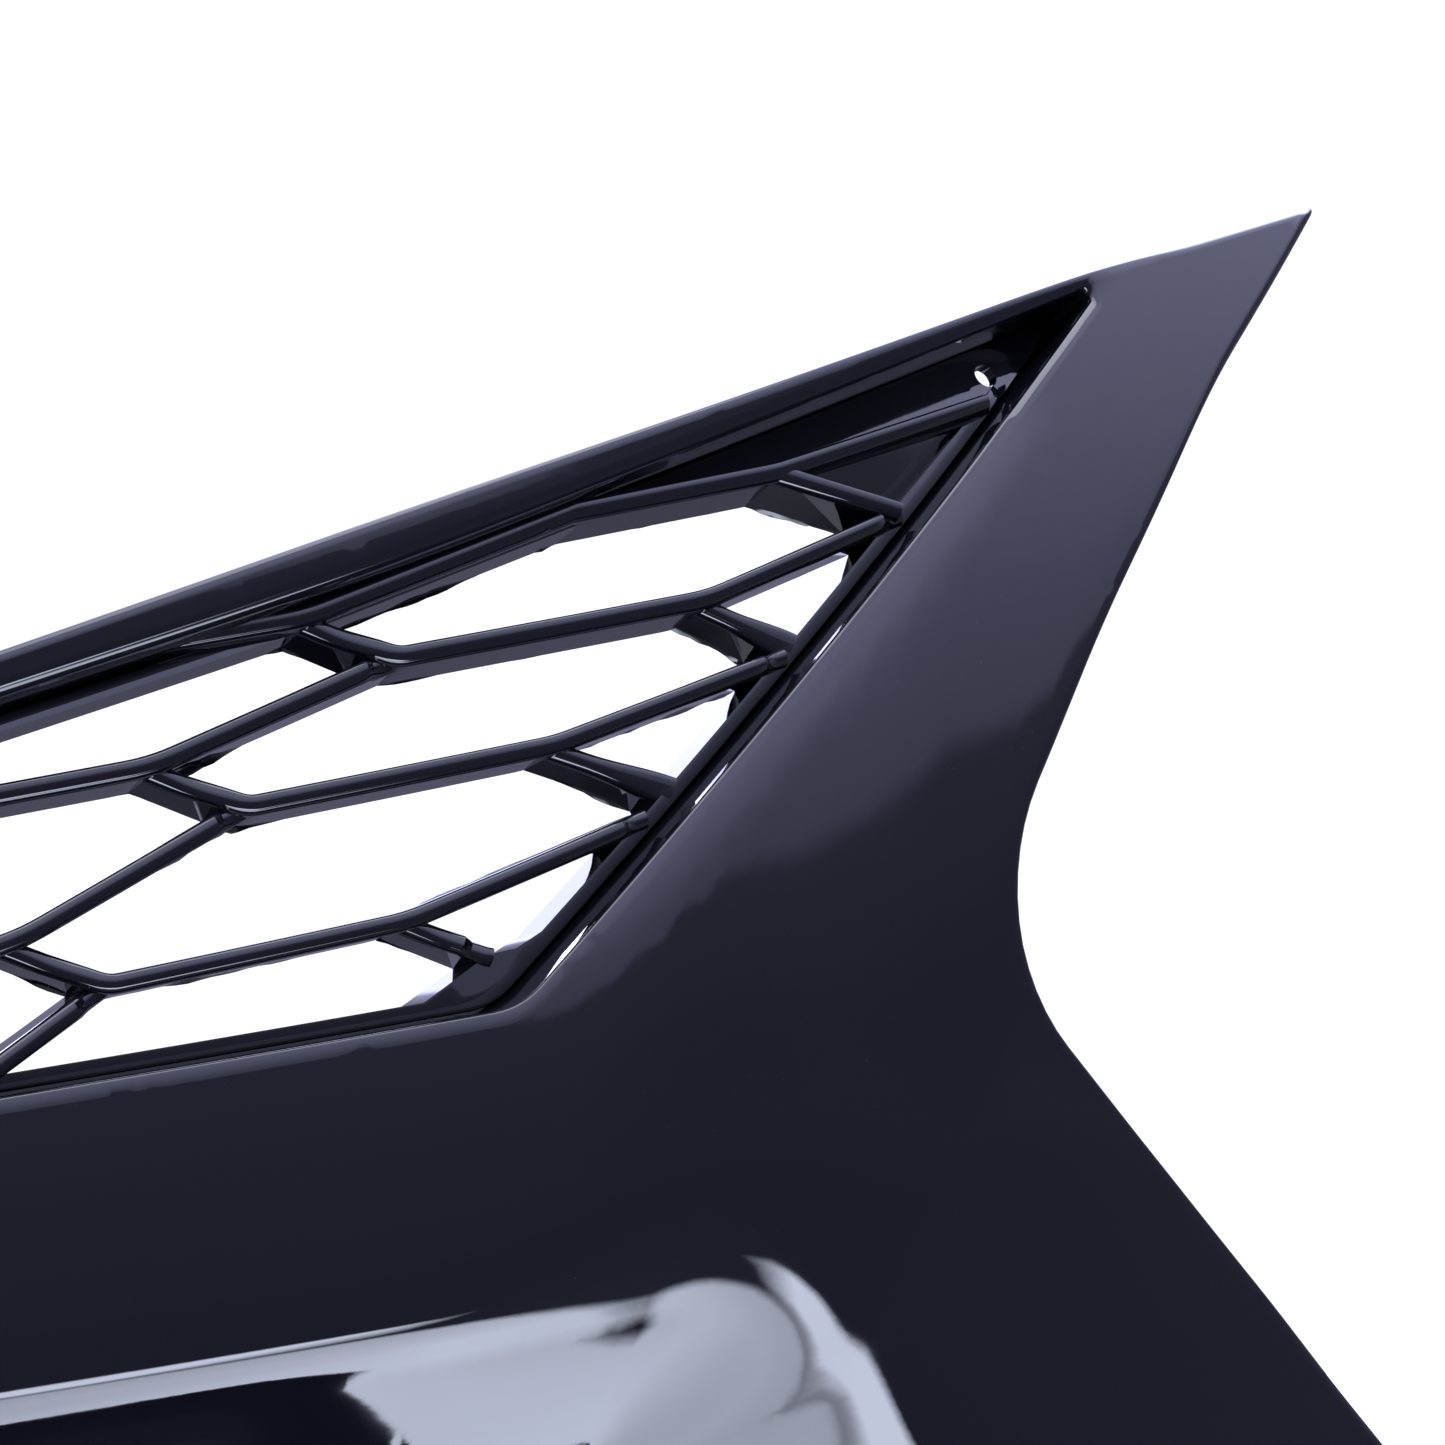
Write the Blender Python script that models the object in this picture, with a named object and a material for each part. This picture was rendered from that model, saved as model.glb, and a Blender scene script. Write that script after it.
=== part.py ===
"""Front grille of a passenger car: a moulded surround with two screwed-in mesh inserts.

The front faces -Y, +X is to the right of someone looking at the front, and +Z is up. The grille
stands on its lower edge at z = 0. Lengths are in millimetres until a mesh is written, in metres.

Most pieces are drawn in skin coordinates (x, z, depth). The base skin is a smooth bent sheet, x and
z pick a point on it, and depth goes to the rear along its normal.
"""

import math

import bmesh
import bpy
import numpy as np
from mathutils import Matrix, Vector
from mathutils.geometry import delaunay_2d_cdt

MM = 0.001

# Base skin
WRAP_RADIUS = 950.0  # radius in plan view
LEAN_START = 185.0  # height where the skin begins to lean back
LEAN_RATE = 1.3e-3  # depth gained for each square millimetre above that height
MIDDLE_DEPTH = 71.11  # moves the origin to the middle of the depth

# Outlines: corners (x, z, radius) of the right half, clockwise from the top
OUTER = [
    (0, 287.5, 300),
    (160, 328.7, 2000),
    (325.5, 368.7, 600),
    (404.5, 385.3, 1.2),
    (350, 341, 300),
    (308.5, 296.8, 300),
    (265.2, 241.7, 40),
    (410, 73.4, 60),
    (414, 0, 22),
]
UPPER = [(0, 281.5, 300), (150, 316.5, 1500), (330, 366.8, 1.5), (168, 240, 16), (0, 234, 1500)]
LOWER_LIP = [(220, 187, 50), (313, 36, 35)]
BADGE = [(46, 281, 17), (46, 245, 17)]

# Surround
WALL = 2.8
FUNNEL_WIDTH = 38.0  # how far the lip of the lower opening slopes in, at 45 degrees
LIP_SOFTNESS = (5.0, 20.0)  # radius of the lip's fold: along the band, along the arms
REAR = 18.0  # depth of the walls behind the skin
REAR_LOWER = 46.0  # the same at the lower mesh
TIP_TAPER = 0.6  # share of the depth that the walls lose at the horn's tip
RIB = 2.4
CREASE_KEYS = [(60, 165), (178, 242), (215, 268), (240, 270), (275, 289), (390, 416)]  # (z, x)
CREASE_DROP = 7.0  # how far the arm lies behind the band
CREASE_REACH = 35.0

# Mesh inserts
STRUT = 3.6
FIT = 0.6
FLANGE = 2.5
FLANGE_REACH = 5.5
MESH_FRONT = 7.0
BLANK_FRONT = 13.0
BLANK = 2.5
MESH_FRONT_LOWER = 39.5
RIM = 3.0
BADGE_PANEL = 49.0  # half the width of the closed panel behind the badge

# Fasteners
BOSS_RADIUS = 5.5
BOSS_INSET = 7.5  # from an opening's edge to the middle of a boss
PILOT_RADIUS = 1.8
SCREW_HOLE_RADIUS = 2.2
SCREW_RADIUS = 1.2
GAP = 0.3

# Fineness of the faceted surfaces
SPACING = 22.0
GRID = 34.0


# ---------------------------------------------------------------- outlines


def unit(vector):
    return vector / np.linalg.norm(vector)


def mirrored(right):
    """Corners of a whole outline from those of its right half."""
    return right + [(-x, z, r) for x, z, r in reversed(right) if x > 0]


def rounded(corners, spacing, arc_step=40.0):
    """Closed outline with its corners rounded, as an array of (x, z)."""
    arcs = []
    for i, (x, z, radius) in enumerate(corners):
        corner = np.array([x, z], float)
        back = unit(np.array(corners[i - 1][:2]) - corner)
        ahead = unit(np.array(corners[(i + 1) % len(corners)][:2]) - corner)
        half = (math.pi - math.acos(float(np.clip(back @ ahead, -1, 1)))) / 2
        centre = corner + unit(back + ahead) * radius / math.cos(half)
        first = corner + back * radius * math.tan(half) - centre
        turn = np.sign(ahead[0] * back[1] - ahead[1] * back[0]) * 2 * half
        steps = max(math.ceil(math.degrees(2 * half) / arc_step), math.ceil(2 * half * radius / spacing))
        angles = turn * np.arange(steps + 1) / steps
        arcs.append(
            centre
            + np.stack(
                [
                    first[0] * np.cos(angles) - first[1] * np.sin(angles),
                    first[0] * np.sin(angles) + first[1] * np.cos(angles),
                ],
                axis=1,
            )
        )
    pieces = []
    for arc, following in zip(arcs, arcs[1:] + arcs[:1]):
        run = following[0] - arc[-1]
        steps = max(1, round(float(np.linalg.norm(run)) / spacing))
        pieces += [arc, arc[-1] + run * np.arange(1, steps)[:, None] / steps]
    return np.concatenate(pieces)


def moved_corners(corners, inset):
    """The same corners with every side moved inwards by inset. The outline runs clockwise."""
    points = np.array([c[:2] for c in corners], float)
    along = np.roll(points, -1, 0) - points
    along /= np.linalg.norm(along, axis=1)[:, None]
    inward = np.stack([along[:, 1], -along[:, 0]], axis=1)
    result = []
    for i, (x, z, radius) in enumerate(corners):
        sides = np.array([inward[i - 1], inward[i]])
        shift = np.linalg.solve(sides, [inset, inset])
        result.append((x + shift[0], z + shift[1], max(radius - inset, 1.5)))
    return result


def circle(x, z, radius, sides):
    angles = 2 * math.pi * (np.arange(sides) + 0.5) / sides
    return np.stack([x + radius * np.cos(angles), z + radius * np.sin(angles)], axis=1)


def distance(points, loop, closed=True):
    """Distance from each point to a polyline."""
    start, end = (loop, np.roll(loop, -1, 0)) if closed else (loop[:-1], loop[1:])
    nearest = np.full(len(points), np.inf)
    for a, b in zip(start, end):
        along = b - a
        share = np.clip((points - a) @ along / max(float(along @ along), 1e-12), 0, 1)
        nearest = np.minimum(nearest, np.linalg.norm(points - a - share[:, None] * along, axis=1))
    return nearest


def inside(points, loop):
    x, z = points[:, 0], points[:, 1]
    crossings = np.zeros(len(points), int)
    for (ax, az), (bx, bz) in zip(loop, np.roll(loop, -1, 0)):
        spans = (az > z) != (bz > z)
        if az != bz:
            crossings += spans & (x < ax + (z - az) * (bx - ax) / (bz - az))
    return crossings % 2 == 1


def cut_back(polygon, point, inward):
    """The part of a convex polygon on the inward side of the line through point."""
    kept = []
    for a, b in zip(polygon, polygon[1:] + polygon[:1]):
        over_a = float((a - point) @ inward)
        over_b = float((b - point) @ inward)
        if over_a >= 0:
            kept.append(a)
        if (over_a >= 0) != (over_b >= 0):
            kept.append(a + (b - a) * over_a / (over_a - over_b))
    return kept


def area(polygon):
    x, z = np.array(polygon).T
    return abs(float(x @ np.roll(z, -1) - z @ np.roll(x, -1))) / 2


# ---------------------------------------------------------------- skin


def softened(value, radius):
    """max(value, 0) with its corner rounded."""
    return (value + np.sqrt(value * value + radius * radius)) / 2


def blend(value, low, high):
    """0 below low, 1 above high, and smooth between."""
    share = np.clip((value - low) / (high - low), 0, 1)
    return share * share * (3 - 2 * share)


def skin_point(x, z, depth):
    """World place, in millimetres, of skin coordinates."""
    rise = np.maximum(z - LEAN_START, 0)
    base = np.stack([x, x * x / (2 * WRAP_RADIUS) + LEAN_RATE * rise**2 - MIDDLE_DEPTH, z], axis=-1)
    normal = np.stack([-x / WRAP_RADIUS, np.ones_like(x), -2 * LEAN_RATE * rise], axis=-1)
    normal /= np.linalg.norm(normal, axis=-1)[..., None]
    return base + depth[..., None] * normal


def skin_frame(x, z, depth, tilt=0.0):
    """Matrix for a piece on the skin: X along the skin and raised by tilt degrees, Y to the rear."""
    at, deeper = skin_point(np.array([x, x], float), np.array([z, z], float), np.array([depth, depth + 1]))
    rear = Vector(deeper - at)
    along = Vector((1, x / WRAP_RADIUS, 0))
    along = (along - rear * along.dot(rear)).normalized()
    up = along.cross(rear)
    turn = Matrix((along, rear, up)).transposed().to_4x4()
    return Matrix.Translation(Vector(at) * MM) @ turn @ Matrix.Rotation(math.radians(-tilt), 4, "Y")


def crease_x(z):
    """Where the crease between the band and the arm runs: a smooth curve through its keys."""
    heights, places = np.array(CREASE_KEYS, float).T
    slopes = np.gradient(places, heights)
    i = np.clip(np.searchsorted(heights, z) - 1, 0, len(heights) - 2)
    span = heights[i + 1] - heights[i]
    t = np.clip((z - heights[i]) / span, 0, 1)
    return (
        (2 * t**3 - 3 * t**2 + 1) * places[i]
        + (t**3 - 2 * t**2 + t) * span * slopes[i]
        + (3 * t**2 - 2 * t**3) * places[i + 1]
        + (t**3 - t**2) * span * slopes[i + 1]
    )


def lip_depth(points, lip):
    """How far inside the lower lip each point lies, and the depth and slope of the funnel there."""
    inward = distance(points, lip) * np.where(inside(points, lip), 1, -1)
    softness = LIP_SOFTNESS[0] + (LIP_SOFTNESS[1] - LIP_SOFTNESS[0]) * blend(np.abs(points[:, 0]), 140, 230)
    depth = softened(inward, softness)
    slope = 0.5 * (1 + inward / np.sqrt(inward**2 + softness**2))
    return inward, depth, slope


def crease_depth(points):
    past = 0.8 * (np.abs(points[:, 0]) - crease_x(points[:, 1]))
    return CREASE_DROP * (1 - np.exp(-softened(past, 3.0) / CREASE_REACH))


# ---------------------------------------------------------------- layered solids


def edge_rows(loop, inset, outward, loops):
    """Rows of points at inset from a loop, broken where another edge is nearer than that."""
    before = loop - np.roll(loop, 1, 0)
    after = np.roll(loop, -1, 0) - loop
    sides = [v / np.linalg.norm(v, axis=1)[:, None] for v in (before, after)]
    normals = [np.stack([s[:, 1], -s[:, 0]], axis=1) * (-1 if outward else 1) for s in sides]
    middle = normals[0] + normals[1]
    middle /= np.linalg.norm(middle, axis=1)[:, None]
    mitre = np.minimum(1 / np.maximum((middle * normals[0]).sum(axis=1), 0.1), 1.15)
    row = loop + middle * (inset * mitre)[:, None]
    clear = np.min([distance(row, other) for other in loops], axis=0) > inset * 0.97
    if clear.all():
        return [np.concatenate([row, row[:1]])]
    first = int(np.argmin(clear))
    chains, chain = [], []
    for k in range(len(row) + 1):
        i = (first + k) % len(row)
        if clear[i] and k < len(row):
            chain.append(row[i])
        elif chain:
            chains.append(np.array(chain))
            chain = []
    return [c for c in chains if len(c) > 1]


def joined_ends(chains, reach=30.0):
    """Short links between the loose ends of rows, nearest first."""
    ends = [end for c in chains if not np.allclose(c[0], c[-1]) for end in (c[0], c[-1])]
    pairs = [(np.linalg.norm(a - b), i, j) for i, a in enumerate(ends) for j, b in enumerate(ends) if i < j]
    links, used = [], set()
    for gap, i, j in sorted(pairs):
        if gap < reach and not used & {i, j}:
            links.append(np.array([ends[i], ends[j]]))
            used |= {i, j}
    return links


def triangulated(loops, lines, scattered):
    """Triangles, counter-clockwise in (x, z), that keep every loop and line as edges."""
    points, edges = [], []
    for loop in loops:
        first = len(points)
        points += list(loop)
        edges += [(first + i, first + (i + 1) % len(loop)) for i in range(len(loop))]
    for line in lines:
        first = len(points)
        points += list(line)
        edges += [(first + i, first + i + 1) for i in range(len(line) - 1)]
    points += list(scattered)
    made = delaunay_2d_cdt([Vector((float(p[0]), float(p[1]))) for p in points], edges, [], 0, 1e-3)
    corners = np.array([tuple(v) for v in made[0]])
    faces = np.array([f for f in made[2] if len(f) == 3])
    a, b, c = (corners[faces[:, k]] for k in range(3))
    double = (b[:, 0] - a[:, 0]) * (c[:, 1] - a[:, 1]) - (b[:, 1] - a[:, 1]) * (c[:, 0] - a[:, 0])
    faces = np.where((double < 0)[:, None], faces[:, ::-1], faces)
    return corners, faces[np.abs(double) > 1e-4]


def scattered_grid(loops, spacing, clearance):
    """Points on a staggered grid, kept away from every loop."""
    every = np.concatenate(loops)
    low, high = every.min(axis=0), every.max(axis=0)
    rows = np.arange(low[1] + spacing / 2, high[1], spacing * 0.87)
    half = np.arange(0, high[0] + spacing, spacing)
    points = []
    for k, z in enumerate(rows):
        shifted = half + (spacing / 2 if k % 2 else 0)
        places = np.concatenate([-shifted[::-1], shifted[1:] if k % 2 == 0 else shifted])
        points.append(np.stack([places, np.full(len(places), z)], axis=1))
    points = np.concatenate(points)
    near = np.min([distance(points, loop) for loop in loops], axis=0)
    return points[near > clearance]


def layered_solid(corners, faces, kinds, kind_levels, depths):
    """Closed mesh from a plan.

    kinds gives each face's kind, or None outside the material. kind_levels gives the names of the
    front and rear level of each kind, and depths the depth of each level at every corner.
    """
    vertices, index, polygons = [], {}, []

    def copy(corner, level):
        if (corner, level) not in index:
            index[corner, level] = len(vertices)
            x, z = corners[corner]
            vertices.append(skin_point(np.array(x), np.array(z), np.array(depths[level][corner])))
        return index[corner, level]

    owner = {}
    for face, kind in zip(faces, kinds):
        if kind is None:
            continue
        front, rear = kind_levels[kind]
        polygons.append([copy(v, front) for v in face])
        polygons.append([copy(v, rear) for v in reversed(face)])
        for a, b in zip(face, np.roll(face, -1)):
            owner[int(a), int(b)] = (front, rear)
    for (a, b), (front, rear) in owner.items():
        other = owner.get((b, a))
        if other is None:
            polygons.append([copy(a, front), copy(a, rear), copy(b, rear), copy(b, front)])
        elif a < b and other != (front, rear):
            if other[0] != front:
                polygons.append([copy(a, front), copy(a, other[0]), copy(b, other[0]), copy(b, front)])
            if other[1] != rear:
                polygons.append([copy(a, rear), copy(b, rear), copy(b, other[1]), copy(a, other[1])])
    return np.array(vertices), polygons


def without_pinches(faces, kinds, hollow, solid):
    """Turns hollow faces solid wherever two hollows would meet at a single corner."""
    while True:
        kind_of = {}
        for face, kind in zip(faces, kinds):
            for a, b in zip(face, np.roll(face, -1)):
                kind_of[int(a), int(b)] = kind
        steps = {}
        for (a, b), kind in kind_of.items():
            if a < b and (b, a) in kind_of and {kind, kind_of[b, a]} == {hollow, solid}:
                steps[a] = steps.get(a, 0) + 1
                steps[b] = steps.get(b, 0) + 1
        pinched = {v for v, count in steps.items() if count > 2}
        hit = [i for i, f in enumerate(faces) if kinds[i] == hollow and pinched & {int(v) for v in f}]
        if not hit:
            return kinds
        for i in hit:
            kinds[i] = solid


# ---------------------------------------------------------------- Blender objects


def material(name, colour, roughness, metallic=0.0, coat=0.0):
    made = bpy.data.materials.new(name)
    made.use_nodes = True
    shader = made.node_tree.nodes["Principled BSDF"]
    shader.inputs["Base Color"].default_value = (*colour, 1)
    shader.inputs["Roughness"].default_value = roughness
    shader.inputs["Metallic"].default_value = metallic
    shader.inputs["Coat Weight"].default_value = coat
    made.diffuse_color = (*colour, 1)
    return made


def add_object(name, vertices, polygons, finish, frame=None, sharp=30.0):
    """Object from vertices in millimetres, in the piece's own frame."""
    mesh = bpy.data.meshes.new(name)
    mesh.from_pydata([tuple(float(c) * MM for c in v) for v in vertices], [], polygons)
    mesh.shade_smooth()
    mesh.set_sharp_from_angle(angle=math.radians(sharp))
    mesh.materials.append(finish)
    made = bpy.data.objects.new(name, mesh)
    bpy.context.scene.collection.objects.link(made)
    if frame is not None:
        made.matrix_world = frame
    return made


def turned(profile, sides):
    """Closed solid turned round Y from (radius, y) points, the first and last on the axis."""
    vertices, rings = [], []
    for radius, y in profile:
        if radius == 0:
            rings.append([len(vertices)] * sides)
            vertices.append((0, y, 0))
            continue
        rings.append(list(range(len(vertices), len(vertices) + sides)))
        for k in range(sides):
            angle = 2 * math.pi * k / sides
            vertices.append((radius * math.cos(angle), y, radius * math.sin(angle)))
    polygons = []
    for ring, following in zip(rings, rings[1:]):
        for k in range(sides):
            quad = [ring[k], following[k], following[(k + 1) % sides], ring[(k + 1) % sides]]
            polygons.append(list(dict.fromkeys(quad)))
    return vertices, polygons


def swept(profile, width):
    """Closed solid from a (y, z) outline, counter-clockwise seen from +X, swept along X."""
    count = len(profile)
    vertices = [(side * width / 2, y, z) for side in (1, -1) for y, z in profile]
    polygons = [list(range(count)), list(range(2 * count - 1, count - 1, -1))]
    for i in range(count):
        j = (i + 1) % count
        polygons.append([i, count + i, count + j, j])
    return vertices, polygons


def drilled(target, centre, direction, radius, length, sides=8):
    """Adds a Boolean that cuts a round hole. centre and direction are in the target's own frame."""
    bore = bpy.data.meshes.new(target.name + "_bore")
    shape = bmesh.new()
    bmesh.ops.create_cone(
        shape, cap_ends=True, segments=sides, radius1=radius * MM, radius2=radius * MM, depth=length * MM
    )
    turn = Vector(direction).to_track_quat("Z", "Y").to_matrix().to_4x4()
    shape.transform(Matrix.Translation(Vector(centre) * MM) @ turn)
    shape.to_mesh(bore)
    shape.free()
    cutter = bpy.data.objects.new(target.name + "_bore", bore)
    cutter.matrix_world = target.matrix_world
    cutter.hide_render = True
    cutter.display_type = "WIRE"
    bpy.context.scene.collection.objects.link(cutter)
    cut = target.modifiers.new("bore", "BOOLEAN")
    cut.operation = "DIFFERENCE"
    cut.object = cutter


# ---------------------------------------------------------------- places of the fasteners


def upper_screw_places():
    """Middles of the bosses round the upper opening, right side then left."""
    corner, foot = np.array(UPPER[2][:2]), np.array(UPPER[3][:2])
    along = unit(corner - foot)
    outward = np.array([along[1], -along[0]])
    places = [foot + along * reach + outward * BOSS_INSET for reach in (74, 150)]
    places += [np.array([x, 234 + 6 * x / 168 - BOSS_INSET]) for x in (52, 138)]
    return [np.array([side * p[0], p[1]]) for side in (1, -1) for p in places]


def lower_screw_places():
    """Middles of the bosses round the lower mesh, right side then left."""
    high, low = (np.array(c[:2]) for c in moved_corners(mirrored(LOWER_LIP), FUNNEL_WIDTH)[:2])
    along = unit(low - high)
    outward = np.array([-along[1], along[0]])
    places = [np.array([x, high[1] + BOSS_INSET]) for x in (70, 165)]
    places += [(high + low) / 2 + outward * BOSS_INSET, np.array([120, low[1] - BOSS_INSET])]
    return [np.array([side * p[0], p[1]]) for side in (1, -1) for p in places]


BRACKETS = {"centre": (0, 293.5, 0), "right": (319.5, 337, 38), "left": (-319.5, 337, -38)}  # x, z, tilt
BRACKET_SCREWS = 13.0  # from a bracket's middle to each of its screws
TAB_PLACES = [(330, 112), (-330, 112), (215, 17), (-215, 17)]
TAB_SIZE = (14.0, 2.4)
TAB_LENGTH = 12.0


def bracket_screw_places(side):
    x, z, tilt = BRACKETS[side]
    along = np.array([math.cos(math.radians(tilt)), math.sin(math.radians(tilt))])
    return [np.array([x, z]) + end * BRACKET_SCREWS * along for end in (1, -1)]


# ---------------------------------------------------------------- surround

RIB_LINES = [
    ((30, 182), (30, 240)),
    ((95, 182), (95, 240)),
    ((178, 182), (178, 246)),
    ((182, 250), (232, 170)),
    ((206, 272), (284, 225)),
    ((262, 312), (322, 302)),
    ((238, 150), (296, 205)),
    ((268, 105), (335, 158)),
    ((292, 72), (392, 96)),
    ((290, 60), (330, -4)),
    ((60, 78), (60, -4)),
    ((168, 78), (168, -4)),
]


def rib_sides(start, end):
    """Two long sides of a rib."""
    start, end = np.array(start, float), np.array(end, float)
    along = unit(end - start)
    across = np.array([-along[1], along[0]]) * RIB / 2
    return [np.array([start + side * across, end + side * across]) for side in (1, -1)]


def surround_depths(points, outer, upper, lower, lip):
    """Depth of the skin, of the thin panel's rear and of the walls' rear at each point."""
    inward, funnel, slope = lip_depth(points, lip)
    near = np.min([distance(points, loop) for loop in (outer, upper, lower)], axis=0)
    missing = np.maximum(WALL - near, 0)
    edge = WALL - np.sqrt(np.maximum(WALL**2 - missing**2, 0))
    relief = funnel + crease_depth(points) * (1 - blend(inward, 0, FUNNEL_WIDTH))
    skin = relief + edge
    panel = relief + WALL * (1 + 0.41 * slope)
    taper = 1 - TIP_TAPER * blend(np.abs(points[:, 0]), 335, 401) * blend(points[:, 1], 300, 350)
    wall = REAR * taper + (REAR_LOWER - REAR) * np.clip(inward / 22, 0, 1)
    wall = np.minimum(np.maximum(wall, skin + 2.5), REAR_LOWER)
    return skin, panel, wall


def surround_shell(finish):
    outer = rounded(mirrored(OUTER), SPACING)
    upper = rounded(mirrored(UPPER), SPACING)
    lip_corners = mirrored(LOWER_LIP)
    lip = rounded(lip_corners, SPACING)
    lower = rounded(moved_corners(lip_corners, FUNNEL_WIDTH), SPACING)
    edges = (outer, upper, lower)
    rows = []
    for loop, outward in ((outer, False), (upper, True), (lower, True)):
        rows += edge_rows(loop, WALL, outward, edges)
    rows += joined_ends(rows)
    ribs = [line for a, b in RIB_LINES for line in rib_sides(a, b)]
    ribs += [line * (-1, 1) for line in ribs]
    crease_z = np.linspace(182, 262, 6)
    crease = np.stack([crease_x(crease_z), crease_z], axis=1)
    bosses = [(p, BOSS_RADIUS) for p in upper_screw_places() + lower_screw_places()]
    bosses += [(p, BOSS_RADIUS) for side in ("right", "left") for p in bracket_screw_places(side)]
    boss_loops = [circle(*p, radius, 8) for p, radius in bosses]
    pilots = [circle(*p, PILOT_RADIUS, 6) for p, _ in bosses]
    pilots += [circle(*p, PILOT_RADIUS, 6) for p in bracket_screw_places("centre")]
    tabs = []
    for x, z in TAB_PLACES:
        half_x, half_z = TAB_SIZE[0] / 2, TAB_SIZE[1] / 2
        signs = ((-1, -1), (1, -1), (1, 1), (-1, 1))
        tabs.append(np.array([(x + i * half_x, z + j * half_z) for i, j in signs]))
    avoid = [outer, upper, lower] + [b for b in boss_loops] + tabs
    free = scattered_grid(avoid, GRID, GRID * 0.42)
    corners, faces = triangulated(
        [outer, upper, lower, lip] + boss_loops + pilots + tabs,
        rows + ribs + [crease, crease * (-1, 1)],
        free,
    )
    middle = corners[faces].mean(axis=1)
    near_corner = np.min([distance(corners, loop) for loop in edges], axis=0)
    material_here = inside(middle, outer) & ~inside(middle, upper) & ~inside(middle, lower)
    near = np.min([distance(middle, loop) for loop in edges], axis=0)
    thick = (near < WALL) | (near_corner[faces].min(axis=1) < WALL * 0.95)
    across, height = np.abs(middle[:, 0]), middle[:, 1]
    thick |= (across < 300) & (height > 250 + 0.3 * across)
    for start, end in RIB_LINES:
        for side in (1, -1):
            line = np.array([start, end], float) * (side, 1)
            thick |= distance(middle, line, closed=False) < RIB / 2 * 0.98
    for loop in boss_loops:
        thick |= inside(middle, loop)
    for loop in pilots:
        thick &= ~inside(middle, loop)
    kinds = ["wall" if t else "panel" for t in thick]
    kinds = [k if here else None for k, here in zip(kinds, material_here)]
    kinds = without_pinches(faces, kinds, "panel", "wall")
    for loop in tabs:
        for i in np.flatnonzero(inside(middle, loop)):
            kinds[i] = "tab"
    skin, panel, wall = surround_depths(corners, outer, upper, lower, lip)
    depths = {"skin": skin, "panel": panel, "wall": wall, "tab": wall + TAB_LENGTH}
    levels = {"wall": ("skin", "wall"), "panel": ("skin", "panel"), "tab": ("skin", "tab")}
    vertices, polygons = layered_solid(corners, faces, kinds, levels, depths)
    return add_object("surround_shell", vertices, polygons, finish)


# ---------------------------------------------------------------- mesh inserts


def lattice_row(j):
    """First valley of row j, and the steps to the next hill and down to the next valley."""
    if j < 0:
        return np.array([197.0, 328.0]), np.array([45.2, 5.0]), np.array([28.3, -9.5])
    valley = np.array([156.9 - 31.5 * j + 1.75 * j * (j - 1), 303.9 - 23.5 * j - 2 * j * (j - 1)])
    return valley, np.array([64.4 - 4.95 * j, 5.8 - 0.55 * j]), np.array([16.2, -8.4])


RIM_STEPS = {0: (4.5, -2.4), 1: (12.1, -3.7)}  # by row, what the last step down to the rim is longer


def lattice_cell(i, j):
    """Six corners of one cell between rows j and j + 1."""

    def valley(i, j):
        first, rise, fall = lattice_row(j)
        return first + i * (rise + fall) + (RIM_STEPS.get(j, (0, 0)) if i > 0 else 0)

    def hill(i, j):
        first, rise, fall = lattice_row(j)
        return first + i * (rise + fall) + rise

    return [valley(i, j), hill(i, j), valley(i + 1, j), hill(i, j + 1), valley(i, j + 1), hill(i - 1, j + 1)]


def divided(polygon, spacing):
    """The same polygon with its long sides cut into shorter ones."""
    points = []
    for a, b in zip(polygon, np.roll(polygon, -1, 0)):
        steps = max(1, round(float(np.linalg.norm(b - a)) / spacing))
        points += [a + (b - a) * k / steps for k in range(steps)]
    return np.array(points)


def narrowed(polygon, inset):
    """A convex, clockwise polygon with its sides moved inwards."""
    result = polygon
    for a, b in zip(polygon, polygon[1:] + polygon[:1]):
        along = unit(b - a)
        inward = np.array([along[1], -along[0]])
        result = cut_back(result, a + inward * inset, inward)
    return result


def cells_within(limits, shift, rows, columns):
    """Cells of the right half, cut to the limits."""
    found = []
    for j in rows:
        for i in columns:
            cell = [c + shift for c in lattice_cell(i, j)]
            middle = np.mean(cell, axis=0)
            cell = narrowed(cell, STRUT / 2)
            for point, inward in limits(middle):
                if cell:
                    cell = cut_back(cell, point, inward)
            if len(cell) > 2 and area(cell) > 45:
                cell = [a for a, b in zip(cell, cell[1:] + cell[:1]) if np.linalg.norm(a - b) > 1.2]
                found.append(cell)
    return found


def upper_limits(middle):
    """Lines that bound the cells of the upper mesh: (point, inward direction)."""
    corners = [np.array(c[:2], float) for c in UPPER]
    top = corners[:2] if middle[0] < 150 else corners[1:3]
    sides = [top, (corners[2], corners[3]), (corners[3], corners[4])]
    limits = [(np.array([BADGE_PANEL + RIM, 0]), np.array([1.0, 0]))]
    for a, b in sides:
        along = unit(b - a)
        inward = np.array([along[1], -along[0]])
        limits.append((a + inward * (RIM + FIT), inward))
    limits.append((np.array([153.7, 241.7]), unit(np.array([-0.45, 1.0]))))
    return limits


def lower_limits(_middle):
    """The same for the lower mesh."""
    corners = [np.array(c[:2]) for c in moved_corners(mirrored(LOWER_LIP), FUNNEL_WIDTH)]
    limits = [(np.array([STRUT / 2, 0]), np.array([1.0, 0]))]
    for a, b in ((corners[3], corners[0]), (corners[0], corners[1]), (corners[1], corners[2])):
        along = unit(b - a)
        inward = np.array([along[1], -along[0]])
        limits.append((a + inward * (RIM + FIT), inward))
    return limits


def both_sides(polygons):
    """Polygons of the right half and their mirror images."""
    return [np.array(p) for p in polygons] + [np.array(p)[::-1] * (-1, 1) for p in polygons]


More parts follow.
